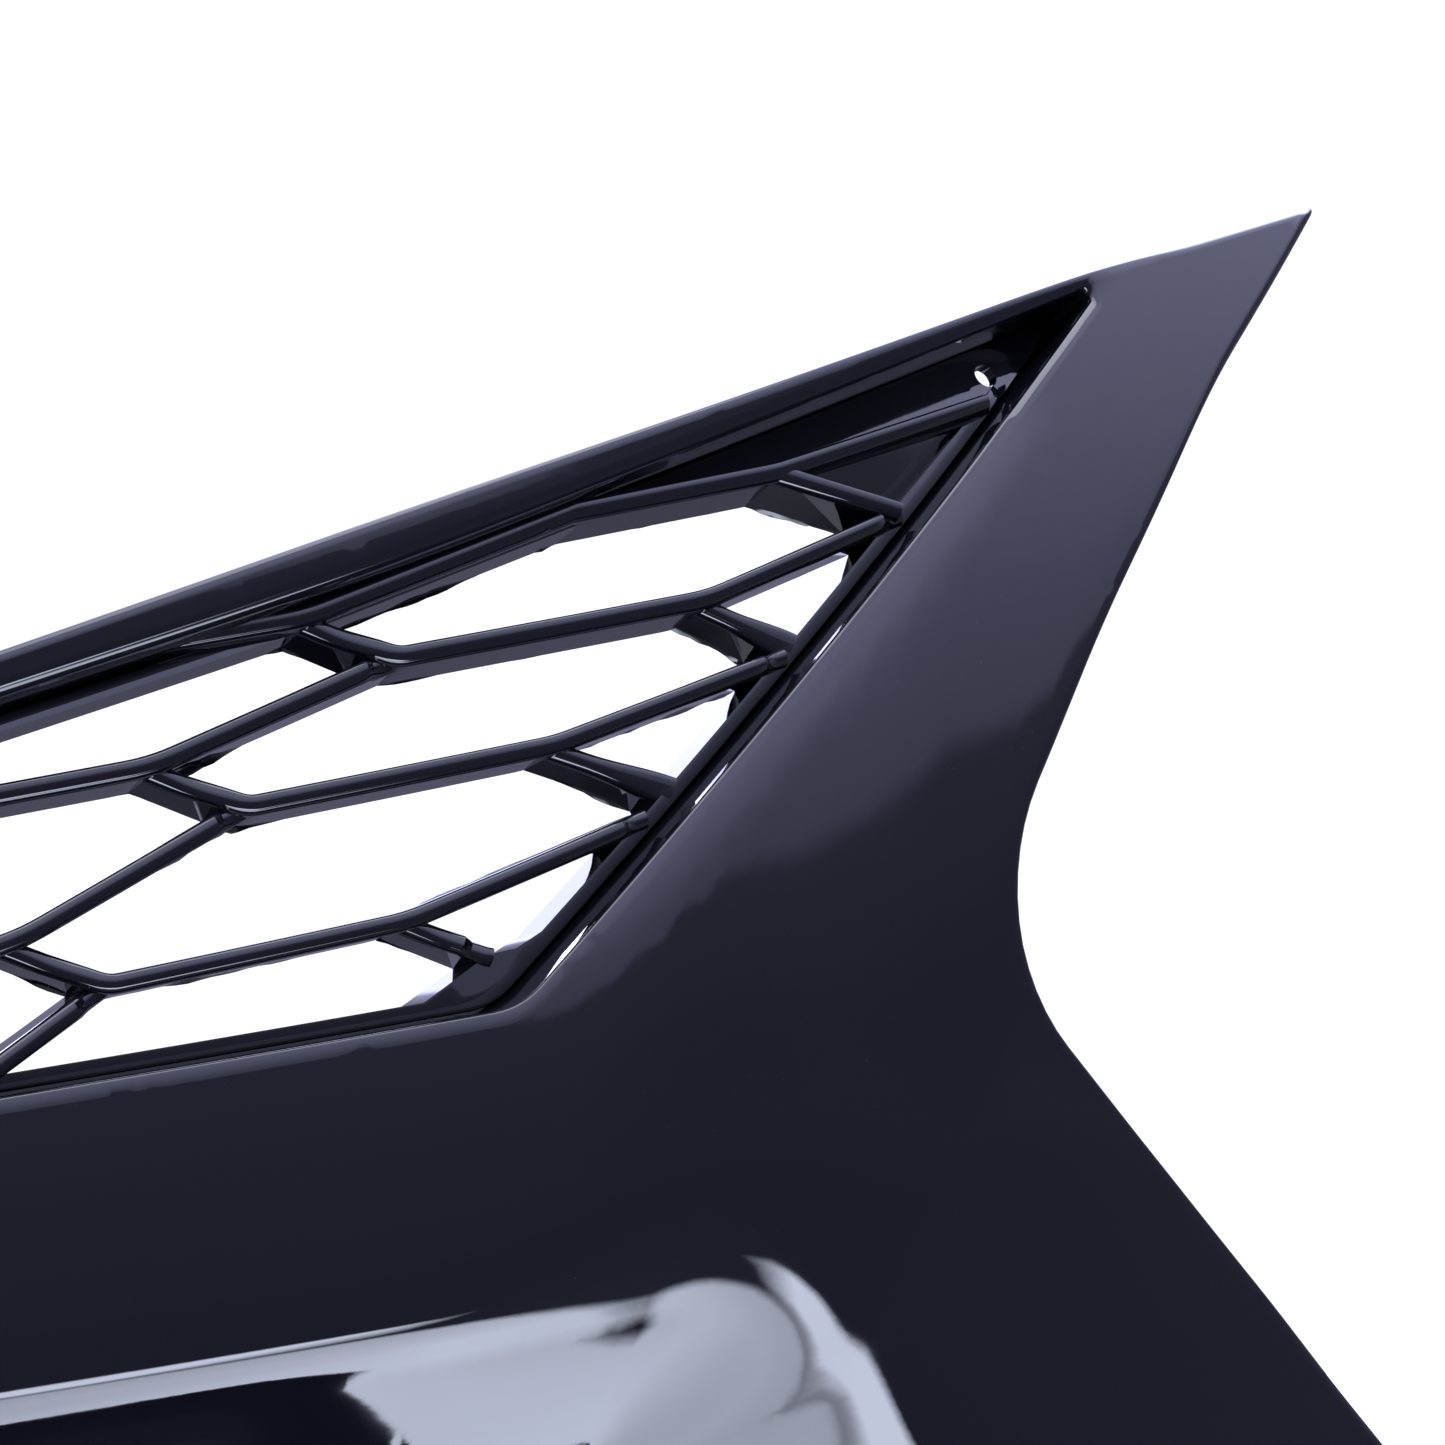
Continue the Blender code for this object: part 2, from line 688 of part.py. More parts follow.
def mesh_insert(name, opening, holes, blanks, screws, round_holes, front, rear, finish):
    """A mesh insert: struts inside the opening, closed pockets, and a screwed flange behind it."""
    inner = rounded(moved_corners(opening, FIT), SPACING)
    flange = rounded(moved_corners(opening, -FLANGE_REACH), SPACING)
    ears = [circle(*p, BOSS_RADIUS + 1, 8) for p in screws]
    bores = [circle(*p, SCREW_HOLE_RADIUS, 6) for p in screws]
    bores += [circle(x, z, radius, 8) for x, z, radius in round_holes]
    corners, faces = triangulated([inner, flange] + ears + bores + holes + blanks, [], [])
    middle = corners[faces].mean(axis=1)
    in_lattice = inside(middle, inner)
    in_flange = inside(middle, flange) | np.any([inside(middle, e) for e in ears], axis=0)
    in_blank = np.any([inside(middle, b) for b in blanks], axis=0) if blanks else np.zeros(len(middle), bool)
    empty = np.any([inside(middle, b) for b in bores + holes], axis=0)
    kinds = []
    for lattice, outside, blank, gone in zip(in_lattice, in_flange, in_blank, empty):
        if gone or not (lattice or outside):
            kinds.append(None)
        else:
            kinds.append("blank" if blank else "strut" if lattice else "flange")
    back = rear + GAP
    depths = {
        "strut_front": np.full(len(corners), front),
        "blank_front": np.full(len(corners), BLANK_FRONT),
        "blank_rear": np.full(len(corners), BLANK_FRONT + BLANK),
        "flange_front": np.full(len(corners), back),
        "rear": np.full(len(corners), back + FLANGE),
    }
    levels = {
        "strut": ("strut_front", "rear"),
        "blank": ("blank_front", "blank_rear"),
        "flange": ("flange_front", "rear"),
    }
    vertices, polygons = layered_solid(corners, faces, kinds, levels, depths)
    return add_object(name, vertices, polygons, finish)


POCKETS = [
    [(242.2, 333), (299, 344.7), (270.5, 323.5)],
    [(207, 331.5), (325.5, 364), (299, 344.7), (242.2, 333)],
]
FIXING_HOLES = [(302.6, 353.0, 2.1), (-302.6, 353.0, 2.1)]
STUDS = [(30, 263), (-30, 263)]
STUD_RADIUS = 2.5


def upper_mesh(finish):
    """The struts of the upper opening, with closed pockets in the corners and behind the badge."""
    cells = cells_within(upper_limits, np.zeros(2), range(-1, 4), range(-3, 2))
    holes = [cell for cell in cells if np.mean(cell, axis=0)[0] < 252]
    pockets = [narrowed([np.array(c, float) for c in pocket], STRUT / 2) for pocket in POCKETS]
    panel = [(-BADGE_PANEL, 241), (-BADGE_PANEL, 285), (BADGE_PANEL, 285), (BADGE_PANEL, 241)]
    panel = divided(np.array(panel, float), SPACING)
    studs = [(x, z, STUD_RADIUS + 0.5) for x, z in STUDS]
    blanks = [panel] + both_sides(pockets)
    round_holes = FIXING_HOLES + studs
    screws = upper_screw_places() + bracket_screw_places("centre")
    opening = mirrored(UPPER)
    return mesh_insert(
        "upper_mesh", opening, both_sides(holes), blanks, screws, round_holes, MESH_FRONT, REAR, finish
    )


def lower_mesh(finish):
    shift = np.array([0, -163.0])
    cells = cells_within(lower_limits, shift, range(0, 4), range(-4, 5))
    opening = moved_corners(mirrored(LOWER_LIP), FUNNEL_WIDTH)
    return mesh_insert(
        "lower_mesh", opening, both_sides(cells), [], lower_screw_places(), [], MESH_FRONT_LOWER, REAR_LOWER, finish
    )


# ---------------------------------------------------------------- badge


def badge_carrier(finish):
    """Plain plate in front of the closed panel, with two studs through it."""
    outline = rounded(mirrored(BADGE), 14, 25)
    studs = [circle(x, z, STUD_RADIUS, 8) for x, z in STUDS]
    corners, faces = triangulated([outline] + studs, [], [])
    middle = corners[faces].mean(axis=1)
    in_stud = np.any([inside(middle, s) for s in studs], axis=0)
    kinds = [None if not here else "stud" if s else "plate" for here, s in zip(inside(middle, outline), in_stud)]
    depths = {
        "front": np.full(len(corners), 2.0),
        "rear": np.full(len(corners), BLANK_FRONT - GAP),
        "tip": np.full(len(corners), BLANK_FRONT + 10),
    }
    levels = {"plate": ("front", "rear"), "stud": ("front", "tip")}
    vertices, polygons = layered_solid(corners, faces, kinds, levels, depths)
    return add_object("badge_carrier", vertices, polygons, finish)


def badge_blank(finish):
    """Domed plain cover on the carrier."""
    outline = rounded(moved_corners(mirrored(BADGE), 3), 14, 25)
    step = rounded(moved_corners(mirrored(BADGE), 8), 14, 25)
    corners, faces = triangulated([outline, step], [], [(-16.0, 263.0), (0.0, 263.0), (16.0, 263.0)])
    middle = corners[faces].mean(axis=1)
    kinds = ["plate" if here else None for here in inside(middle, outline)]
    raised = np.clip(distance(corners, outline) / 12, 0, 1)
    depths = {"front": 0.5 - 3.0 * np.sqrt(raised * (2 - raised)), "rear": np.full(len(corners), 2.0 - GAP)}
    vertices, polygons = layered_solid(corners, faces, kinds, {"plate": ("front", "rear")}, depths)
    return add_object("badge_blank", vertices, polygons, finish)


def badge_nut(name, x, z, finish):
    """Push nut on a stud of the carrier: a ring, turned from its closed profile."""
    sides, inner, outer, height = 10, STUD_RADIUS + 0.35, 6.5, 3.0
    vertices, polygons = [], []
    profile = [(inner, 0), (outer, 0), (outer - 0.8, height), (inner, height)]
    for radius, y in profile:
        for k in range(sides):
            angle = 2 * math.pi * k / sides
            vertices.append((radius * math.cos(angle), y, radius * math.sin(angle)))
    for ring in range(4):
        for k in range(sides):
            a, b = ring * sides, ((ring + 1) % 4) * sides
            polygons.append([a + k, b + k, b + (k + 1) % sides, a + (k + 1) % sides])
    frame = skin_frame(x, z, BLANK_FRONT + BLANK + GAP)
    return add_object(name, vertices, polygons, finish, frame)


# ---------------------------------------------------------------- fasteners and brackets


def screw(name, frame, length, finish):
    """Pan-head screw. Its head stands on the origin of its frame, and its point is in front."""
    head, height = 4.0, 2.4
    profile = [
        (0, -length),
        (SCREW_RADIUS * 0.5, -length),
        (SCREW_RADIUS, -length + 1.5),
        (SCREW_RADIUS, 0),
        (head, 0),
        (head, height * 0.5),
        (head * 0.7, height),
        (0, height),
    ]
    vertices, polygons = turned(profile, 10)
    return add_object(name, vertices, polygons, finish, frame)


BRACKET_THICKNESS = 1.6
BRACKET_GAP = 0.5  # under the middle of a flat foot on the curved surround
BRACKET_WIDTH = 38.0
BRACKET_HEIGHT = 15.0
BRACKET_REACH = 34.0


def bracket(name, frame, screw_frames, finish):
    """Bent steel angle: its foot is screwed to the grille and its shelf goes to the rear."""
    t, drop = BRACKET_THICKNESS, BRACKET_HEIGHT / 2
    bend = 2.5
    arc = [(math.sin(a), math.cos(a)) for a in np.radians([22.5, 45, 67.5])]
    outer_bend = [(bend - bend * s, drop - bend + bend * c) for s, c in arc]
    inner_bend = [(bend - (bend - t) * s, drop - bend + (bend - t) * c) for s, c in reversed(arc)]
    profile = [(BRACKET_REACH, drop), (bend, drop)]
    profile += outer_bend
    profile += [(0, drop - bend), (0, -drop), (t, -drop), (t, drop - bend)]
    profile += inner_bend
    profile += [(bend, drop - t), (BRACKET_REACH, drop - t)]
    vertices, polygons = swept(profile, BRACKET_WIDTH)
    made = add_object(name, vertices, polygons, finish, frame)
    for screw_frame in screw_frames:
        in_bracket = frame.inverted() @ screw_frame
        centre, rear = in_bracket.translation / MM, in_bracket.to_3x3() @ Vector((0, 1, 0))
        drilled(made, centre, rear, SCREW_HOLE_RADIUS, 8)
    drilled(made, (0, BRACKET_REACH - 11, drop), (0, 0, 1), 3.6, 8, 10)
    return made


def u_nut(name, frame, finish):
    """Folded steel nut pushed over the free edge of a bracket's shelf."""
    t, shelf = 1.0, BRACKET_THICKNESS
    top = BRACKET_HEIGHT / 2 + GAP + t
    bottom = BRACKET_HEIGHT / 2 - shelf - GAP - t
    end = BRACKET_REACH + GAP + t
    start = BRACKET_REACH - 19
    profile = [
        (start, top),
        (start, top - t),
        (end - t, top - t),
        (end - t, bottom + t),
        (start + 2, bottom + t),
        (start, bottom + t - 1.2),
        (start, bottom - 1.2),
        (start + 2, bottom),
        (end, bottom),
        (end, top),
    ]
    vertices, polygons = swept(profile, 15.0)
    made = add_object(name, vertices, polygons, finish, frame)
    drilled(made, (0, BRACKET_REACH - 11, 0), (0, 0, 1), 2.8, 40, 10)
    return made


def spring_clip(name, x, z, depth, finish):
    """Steel clip folded over a blade tab, with a barb on each side."""
    t = 0.8
    inner = TAB_SIZE[1] / 2 + GAP
    end = TAB_LENGTH + GAP
    right = [(1.0, inner), (end, inner)]
    barb = [(end + t, inner + t), (end - 3, inner + t + 3), (end - 4.2, inner + t + 2.6), (4, inner + t), (1, inner + t)]
    upper_half = right
    lower_half = [(y, -b) for y, b in reversed(right)]
    outer_low = [(y, -b) for y, b in reversed(barb)]
    profile = upper_half + lower_half + outer_low + barb
    vertices, polygons = swept(profile, TAB_SIZE[0] - 3)
    return add_object(name, vertices, polygons, finish, skin_frame(x, z, depth))


def foam_seal(name, side, finish):
    """Foam strip stuck on the rear edge of one arm, close to its outer edge."""
    outer = rounded(mirrored(OUTER), SPACING)
    rows = [edge_rows(outer, inset, False, [outer])[0] for inset in (1.0, 7.0)]
    strips = []
    for row in rows:
        keep = (row[:, 0] > 0) & (row[:, 1] > 72) & (row[:, 1] < 212)
        strips.append(row[keep])
    far, near = strips
    loop = np.concatenate([far, near[::-1]]) * (side, 1)
    corners, faces = triangulated([loop], [], [])
    middle = corners[faces].mean(axis=1)
    kinds = ["foam" if here else None for here in inside(middle, loop)]
    rear = np.full(len(corners), REAR + GAP)
    vertices, polygons = layered_solid(corners, faces, kinds, {"foam": ("near", "far")}, {"near": rear, "far": rear + 8})
    return add_object(name, vertices, polygons, finish)


# ---------------------------------------------------------------- the assembly


def build():
    gloss = material("gloss_black_abs", (0.008, 0.008, 0.011), 0.06, coat=1.0)
    satin = material("satin_black_abs", (0.02, 0.02, 0.022), 0.45)
    steel = material("zinc_steel", (0.62, 0.62, 0.6), 0.32, 1.0)
    painted = material("black_painted_steel", (0.03, 0.03, 0.032), 0.5)
    foam = material("black_foam", (0.025, 0.025, 0.025), 0.95)

    surround_shell(gloss)
    upper_mesh(gloss)
    lower_mesh(gloss)
    badge_carrier(satin)
    badge_blank(gloss)
    for side, (x, z) in zip(("right", "left"), STUDS):
        badge_nut("badge_nut_" + side, x, z, steel)

    flange_rear = REAR + GAP + FLANGE
    for k, place in enumerate(upper_screw_places()):
        screw(f"upper_mesh_screw_{k + 1}", skin_frame(*place, flange_rear + GAP), 13, steel)
    lower_head = REAR_LOWER + GAP + FLANGE + GAP
    for k, place in enumerate(lower_screw_places()):
        screw(f"lower_mesh_screw_{k + 1}", skin_frame(*place, lower_head), 10, steel)

    for side, (x, z, tilt) in BRACKETS.items():
        seat = (flange_rear if side == "centre" else REAR) + BRACKET_GAP
        frame = skin_frame(x, z, seat, tilt)
        head = seat + BRACKET_THICKNESS + GAP
        screw_frames = [skin_frame(*place, head) for place in bracket_screw_places(side)]
        bracket(side + "_bracket", frame, screw_frames, painted)
        u_nut(side + "_u_nut", frame, steel)
        for letter, screw_frame in zip("ab", screw_frames):
            screw(f"{side}_bracket_screw_{letter}", screw_frame, 12, steel)

    for k, (x, z) in enumerate(TAB_PLACES):
        spring_clip(f"spring_clip_{k + 1}", x, z, REAR, steel)
    foam_seal("foam_seal_right", 1, foam)
    foam_seal("foam_seal_left", -1, foam)


for existing in list(bpy.data.objects):
    bpy.data.objects.remove(existing)
build()
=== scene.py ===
"""The looks of the front grille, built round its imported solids.

Lengths are in millimetres until a mesh is made. A plan point is (x, z) on the skin, the curved sheet that
the front follows, and a depth is measured from the skin to the rear.
"""

import math

import bpy
import numpy as np
from mathutils import Matrix, Vector
from mathutils.geometry import delaunay_2d_cdt


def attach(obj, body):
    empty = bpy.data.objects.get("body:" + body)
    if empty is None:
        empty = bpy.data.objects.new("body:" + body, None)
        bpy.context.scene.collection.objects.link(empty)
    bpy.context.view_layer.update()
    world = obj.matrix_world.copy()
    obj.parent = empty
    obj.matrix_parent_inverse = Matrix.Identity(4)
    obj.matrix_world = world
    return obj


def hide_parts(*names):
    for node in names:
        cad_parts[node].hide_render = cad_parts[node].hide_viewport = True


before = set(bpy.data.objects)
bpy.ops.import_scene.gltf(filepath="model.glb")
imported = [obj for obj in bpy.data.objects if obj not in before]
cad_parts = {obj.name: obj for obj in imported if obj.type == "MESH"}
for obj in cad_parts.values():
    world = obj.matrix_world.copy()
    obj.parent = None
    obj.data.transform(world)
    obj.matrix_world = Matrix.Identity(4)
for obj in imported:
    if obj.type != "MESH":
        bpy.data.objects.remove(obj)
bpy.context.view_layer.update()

MM = 0.001
SPACING = 5.0
ARC_STEP = 7.0
GRID = 6.5
BAR_STEP = 2.2

# ---------------------------------------------------------------- the design, as in part.py

WRAP_RADIUS = 950.0
LEAN_START = 185.0
LEAN_RATE = 1.3e-3
MIDDLE_DEPTH = 71.11
OUTER = [
    (0, 287.5, 300),
    (160, 328.7, 2000),
    (325.5, 368.7, 600),
    (404.1, 385.0, 1.3),
    (350, 341, 300),
    (308.5, 296.8, 300),
    (265.2, 241.7, 40),
    (409.7, 73.6, 60),
    (413.7, 0, 22),
]
UPPER = [(0, 281.5, 300), (150, 316.5, 1500), (330, 366.8, 1.5), (168, 240, 16), (0, 234, 1500)]
LOWER_LIP = [(220, 187, 50), (313, 36, 35)]
BADGE = [(46, 281, 17), (46, 245, 17)]
WALL = 2.8
FUNNEL_WIDTH = 38.0
LIP_SOFTNESS = (5.0, 20.0)
REAR = 18.0
REAR_LOWER = 46.0
TIP_TAPER = 0.6
SETBACK = 0.1
EDGE = 1.4
LEG_EDGE = 0.55
RIB = 2.4
CREASE_KEYS = [(60, 165), (178, 242), (215, 268), (240, 270), (275, 289), (390, 416)]
CREASE_DROP = 7.0
CREASE_REACH = 35.0
STRUT = 3.6
STRUT_ROUND = 1.45
FIT = 0.6
FLANGE = 2.5
FLANGE_REACH = 5.5
MESH_FRONT = 7.0
BLANK_FRONT = 13.0
BLANK = 2.5
MESH_FRONT_LOWER = 39.5
RIM = 3.0
BADGE_PANEL = 49.0
BOSS_RADIUS = 5.5
BOSS_INSET = 7.5
PILOT_RADIUS = 1.8
SCREW_HOLE_RADIUS = 2.2
SCREW_RADIUS = 1.2
GAP = 0.3
BRACKETS = {"centre": (0, 293.5, 0), "right": (319.5, 337, 38), "left": (-319.5, 337, -38)}
BRACKET_SCREWS = 13.0
BRACKET_THICKNESS = 1.6
BRACKET_GAP = 0.5
BRACKET_WIDTH = 38.0
BRACKET_HEIGHT = 15.0
BRACKET_REACH = 34.0
NUT_INSET = 11
TAB_PLACES = [(330, 112), (-330, 112), (215, 17), (-215, 17)]
TAB_SIZE = (14.0, 2.4)
TAB_LENGTH = 12.0
RIB_LINES = [
    ((30, 182), (30, 240)),
    ((95, 182), (95, 240)),
    ((178, 182), (178, 246)),
    ((182, 250), (232, 170)),
    ((206, 272), (284, 225)),
    ((262, 312), (322, 302)),
    ((238, 150), (296, 205)),
    ((268, 105), (335, 158)),
    ((292, 72), (392, 96)),
    ((290, 60), (330, -4)),
    ((60, 78), (60, -4)),
    ((168, 78), (168, -4)),
]
POCKETS = [
    [(242.2, 333), (299, 344.7), (270.5, 323.5)],
    [(207, 331.5), (325.5, 364), (299, 344.7), (242.2, 333)],
]
TOP_RIBBON = [(100, 197, 242.2, 299, 330), (322, 328, 333, 344.7, 349)]
FIXING_HOLES = [(303.2, 353.0, 2.6), (-303.2, 353.0, 2.6)]
STUDS = [(30, 263), (-30, 263)]
STUD_RADIUS = 2.5
RIM_STEPS = {0: (4.5, -2.4), 1: (12.1, -3.7)}
FOOT_LIMIT = np.array([153.7, 241.7])
FOOT_INWARD = np.array([-0.45, 1.0])

# ---------------------------------------------------------------- outlines


def unit(vector):
    return vector / np.linalg.norm(vector)


def normalised(vectors):
    return vectors / np.linalg.norm(vectors, axis=1)[:, None]


def mirrored(right):
    return right + [(-x, z, r) for x, z, r in reversed(right) if x > 0]


def rounded(corners, spacing, arc_step):
    """Closed, clockwise outline with its corners rounded, as an array of (x, z)."""
    arcs = []
    for i, (x, z, radius) in enumerate(corners):
        corner = np.array([x, z], float)
        back = unit(np.array(corners[i - 1][:2]) - corner)
        ahead = unit(np.array(corners[(i + 1) % len(corners)][:2]) - corner)
        half = (math.pi - math.acos(float(np.clip(back @ ahead, -1, 1)))) / 2
        centre = corner + unit(back + ahead) * radius / math.cos(half)
        first = corner + back * radius * math.tan(half) - centre
        turn = np.sign(ahead[0] * back[1] - ahead[1] * back[0]) * 2 * half
        steps = max(math.ceil(math.degrees(2 * half) / arc_step), math.ceil(2 * half * radius / spacing))
        angles = turn * np.arange(steps + 1) / steps
        turned_x = first[0] * np.cos(angles) - first[1] * np.sin(angles)
        turned_z = first[0] * np.sin(angles) + first[1] * np.cos(angles)
        arcs.append(centre + np.stack([turned_x, turned_z], axis=1))
    pieces = []
    for arc, following in zip(arcs, arcs[1:] + arcs[:1]):
        run = following[0] - arc[-1]
        steps = max(1, round(float(np.linalg.norm(run)) / spacing))
        pieces += [arc, arc[-1] + run * np.arange(1, steps)[:, None] / steps]
    return np.concatenate(pieces)


def moved_corners(corners, inset):
    points = np.array([c[:2] for c in corners], float)
    along = normalised(np.roll(points, -1, 0) - points)
    inward = np.stack([along[:, 1], -along[:, 0]], axis=1)
    result = []
    for i, (x, z, radius) in enumerate(corners):
        shift = np.linalg.solve(np.array([inward[i - 1], inward[i]]), [inset, inset])
        result.append((x + shift[0], z + shift[1], max(radius - inset, 1.5)))
    return result


def circle(x, z, radius, sides):
    angles = 2 * math.pi * (np.arange(sides) + 0.5) / sides
    return np.stack([x + radius * np.cos(angles), z + radius * np.sin(angles)], axis=1)


def nearest(points, loop, closed=True):
    """Distance to a polyline, and the unit direction to each point from its nearest place on it."""
    start, end = (loop, np.roll(loop, -1, 0)) if closed else (loop[:-1], loop[1:])
    found = np.full(len(points), np.inf)
    away = np.zeros((len(points), 2))
    for a, b in zip(start, end):
        along = b - a
        square = max(float(along @ along), 1e-12)
        share = np.clip((points - a) @ along / square, 0, 1)
        offset = points - a - share[:, None] * along
        reach = np.hypot(offset[:, 0], offset[:, 1])
        closer = reach < found
        side = np.array([along[1], -along[0]]) / math.sqrt(square)
        clear = np.where((reach > 1e-5)[:, None], offset / np.maximum(reach, 1e-9)[:, None], side)
        away[closer] = clear[closer]
        found[closer] = reach[closer]
    return found, away


def distance(points, loop, closed=True):
    return nearest(points, loop, closed)[0]


def inside(points, loop):
    x, z = points[:, 0], points[:, 1]
    crossings = np.zeros(len(points), int)
    for (ax, az), (bx, bz) in zip(loop, np.roll(loop, -1, 0)):
        if az != bz:
            crossings += ((az > z) != (bz > z)) & (x < ax + (z - az) * (bx - ax) / (bz - az))
    return crossings % 2 == 1


def cut_back(polygon, point, inward):
    """The part of a convex polygon on the inward side of a line through the point."""
    kept = []
    for a, b in zip(polygon, polygon[1:] + polygon[:1]):
        over_a = float((a - point) @ inward)
        over_b = float((b - point) @ inward)
        if over_a >= 0:
            kept.append(a)
        if (over_a >= 0) != (over_b >= 0):
            kept.append(a + (b - a) * over_a / (over_a - over_b))
    return kept


def area(polygon):
    x, z = np.array(polygon).T
    return abs(float(x @ np.roll(z, -1) - z @ np.roll(x, -1))) / 2


# ---------------------------------------------------------------- skin


def softened(value, radius):
    """The value where it is positive and 0 where it isn't, with a round change between the two."""
    return (value + np.sqrt(value * value + radius * radius)) / 2


def blend(value, low, high):
    """Smooth step from 0 at low to 1 at high."""
    share = np.clip((value - low) / (high - low), 0, 1)
    return share * share * (3 - 2 * share)


def skin_point(x, z, depth):
    """Space points of plan points at the given depths."""
    rise = np.maximum(z - LEAN_START, 0)
    base = np.stack([x, x * x / (2 * WRAP_RADIUS) + LEAN_RATE * rise**2 - MIDDLE_DEPTH, z], axis=-1)
    normal = np.stack([-x / WRAP_RADIUS, np.ones_like(x), -2 * LEAN_RATE * rise], axis=-1)
    normal /= np.linalg.norm(normal, axis=-1)[..., None]
    return base + depth[..., None] * normal


def skin_frame(x, z, depth, tilt=0.0):
    """Placing matrix on the skin: X along it, Y to the rear, and turned about Y by the tilt in degrees."""
    at, deeper = skin_point(np.array([x, x], float), np.array([z, z], float), np.array([depth, depth + 1]))
    rear = Vector(deeper - at)
    along = Vector((1, x / WRAP_RADIUS, 0))
    along = (along - rear * along.dot(rear)).normalized()
    turn = Matrix((along, rear, along.cross(rear))).transposed().to_4x4()
    return Matrix.Translation(Vector(at) * MM) @ turn @ Matrix.Rotation(math.radians(-tilt), 4, "Y")


def crease_x(z):
    """Half width of the face at height z, where the crease runs: a smooth curve through CREASE_KEYS."""
    heights, places = np.array(CREASE_KEYS, float).T
    slopes = np.gradient(places, heights)
    i = np.clip(np.searchsorted(heights, z) - 1, 0, len(heights) - 2)
    span = heights[i + 1] - heights[i]
    t = np.clip((z - heights[i]) / span, 0, 1)
    return (
        (2 * t**3 - 3 * t**2 + 1) * places[i]
        + (t**3 - 2 * t**2 + t) * span * slopes[i]
        + (3 * t**2 - 2 * t**3) * places[i + 1]
        + (t**3 - t**2) * span * slopes[i + 1]
    )


LIP = rounded(mirrored(LOWER_LIP), 4.0, 2.5)


def relief(points):
    """Depth of the surround's surface, how far inside the lower lip each point is, and the slope there."""
    inward = distance(points, LIP) * np.where(inside(points, LIP), 1, -1)
    softness = LIP_SOFTNESS[0] + (LIP_SOFTNESS[1] - LIP_SOFTNESS[0]) * blend(np.abs(points[:, 0]), 140, 230)
    funnel = softened(inward, softness)
    slope = 0.5 * (1 + inward / np.sqrt(inward**2 + softness**2))
    past = 0.8 * (np.abs(points[:, 0]) - crease_x(points[:, 1]))
    crease = CREASE_DROP * (1 - np.exp(-softened(past, 3.0) / CREASE_REACH))
    return funnel + crease * (1 - blend(inward, 0, FUNNEL_WIDTH)), inward, slope


def sheet_normals(points, depth_of, step=0.6):
    """Outward normals of a surface over the skin, and its two tangents, by small steps."""
    tangents = []
    for axis in ((step, 0.0), (0.0, step)):
        ahead, behind = points + axis, points - axis
        rise = skin_point(ahead[:, 0], ahead[:, 1], depth_of(ahead)) - skin_point(
            behind[:, 0], behind[:, 1], depth_of(behind)
        )
        tangents.append(rise / (2 * step))
    return normalised(np.cross(tangents[0], tangents[1])), tangents


def leaned(normal, tangents, outward, share):
    """Normals turned towards the outward plan direction, by the sine given."""
    side = tangents[0] * outward[:, :1] + tangents[1] * outward[:, 1:]
    side /= np.maximum(np.linalg.norm(side, axis=1), 1e-9)[:, None]
    result = normal * np.sqrt(np.maximum(1 - share**2, 0))[:, None] + side * share[:, None]
    return normalised(result)


# ---------------------------------------------------------------- plans and layered solids


def edge_rows(loop, inset, outward, loops):
    """Rows of points at inset from a loop, broken where another edge is nearer than that."""
    before = loop - np.roll(loop, 1, 0)
    after = np.roll(loop, -1, 0) - loop
    sides = [normalised(v) for v in (before, after)]
    normals = [np.stack([s[:, 1], -s[:, 0]], axis=1) * (-1 if outward else 1) for s in sides]
    middle = normalised(normals[0] + normals[1])
    mitre = np.minimum(1 / np.maximum((middle * normals[0]).sum(axis=1), 0.1), 1.15)
    inset = np.broadcast_to(inset, len(loop))
    row = loop + middle * (inset * mitre)[:, None]
    clear = np.min([distance(row, other) for other in loops], axis=0) > inset * 0.97
    if clear.all():
        return [np.concatenate([row, row[:1]])]
    first = int(np.argmin(clear))
    chains, chain = [], []
    for k in range(len(row) + 1):
        i = (first + k) % len(row)
        if clear[i] and k < len(row):
            chain.append(row[i])
        elif chain:
            chains.append(np.array(chain))
            chain = []
    return [c for c in chains if len(c) > 1]


def triangulated(loops, lines, scattered):
    """Triangles of a plan that keep every loop and line, and whose faces are all wound the same way."""
    points, edges = [], []
    for loop in loops:
        first = len(points)
        points += list(loop)
        edges += [(first + i, first + (i + 1) % len(loop)) for i in range(len(loop))]
    for line in lines:
        first = len(points)
        points += list(line)
        edges += [(first + i, first + i + 1) for i in range(len(line) - 1)]
    points += list(scattered)
    made = delaunay_2d_cdt([Vector((float(p[0]), float(p[1]))) for p in points], edges, [], 0, 1e-3)
    corners = np.array([tuple(v) for v in made[0]])
    faces = np.array([f for f in made[2] if len(f) == 3])
    a, b, c = (corners[faces[:, k]] for k in range(3))
    double = (b[:, 0] - a[:, 0]) * (c[:, 1] - a[:, 1]) - (b[:, 1] - a[:, 1]) * (c[:, 0] - a[:, 0])
    faces = np.where((double < 0)[:, None], faces[:, ::-1], faces)
    return corners, faces[np.abs(double) > 1e-5]


def scattered_grid(loops, spacing, clearance):
    """A staggered grid of points, the same on both sides of the middle, that keeps clear of the loops."""
    every = np.concatenate(loops)
    low, high = every.min(axis=0), every.max(axis=0)
    rows = np.arange(low[1] + spacing / 2, high[1], spacing * 0.87)
    half = np.arange(0, high[0] + spacing, spacing)
    points = []
    for k, z in enumerate(rows):
        shifted = half + (spacing / 2 if k % 2 else 0)
        places = np.concatenate([-shifted[::-1], shifted[1:] if k % 2 == 0 else shifted])
        points.append(np.stack([places, np.full(len(places), z)], axis=1))
    points = np.concatenate(points)
    near = np.min([distance(points, loop) for loop in loops], axis=0)
    return points[near > clearance]


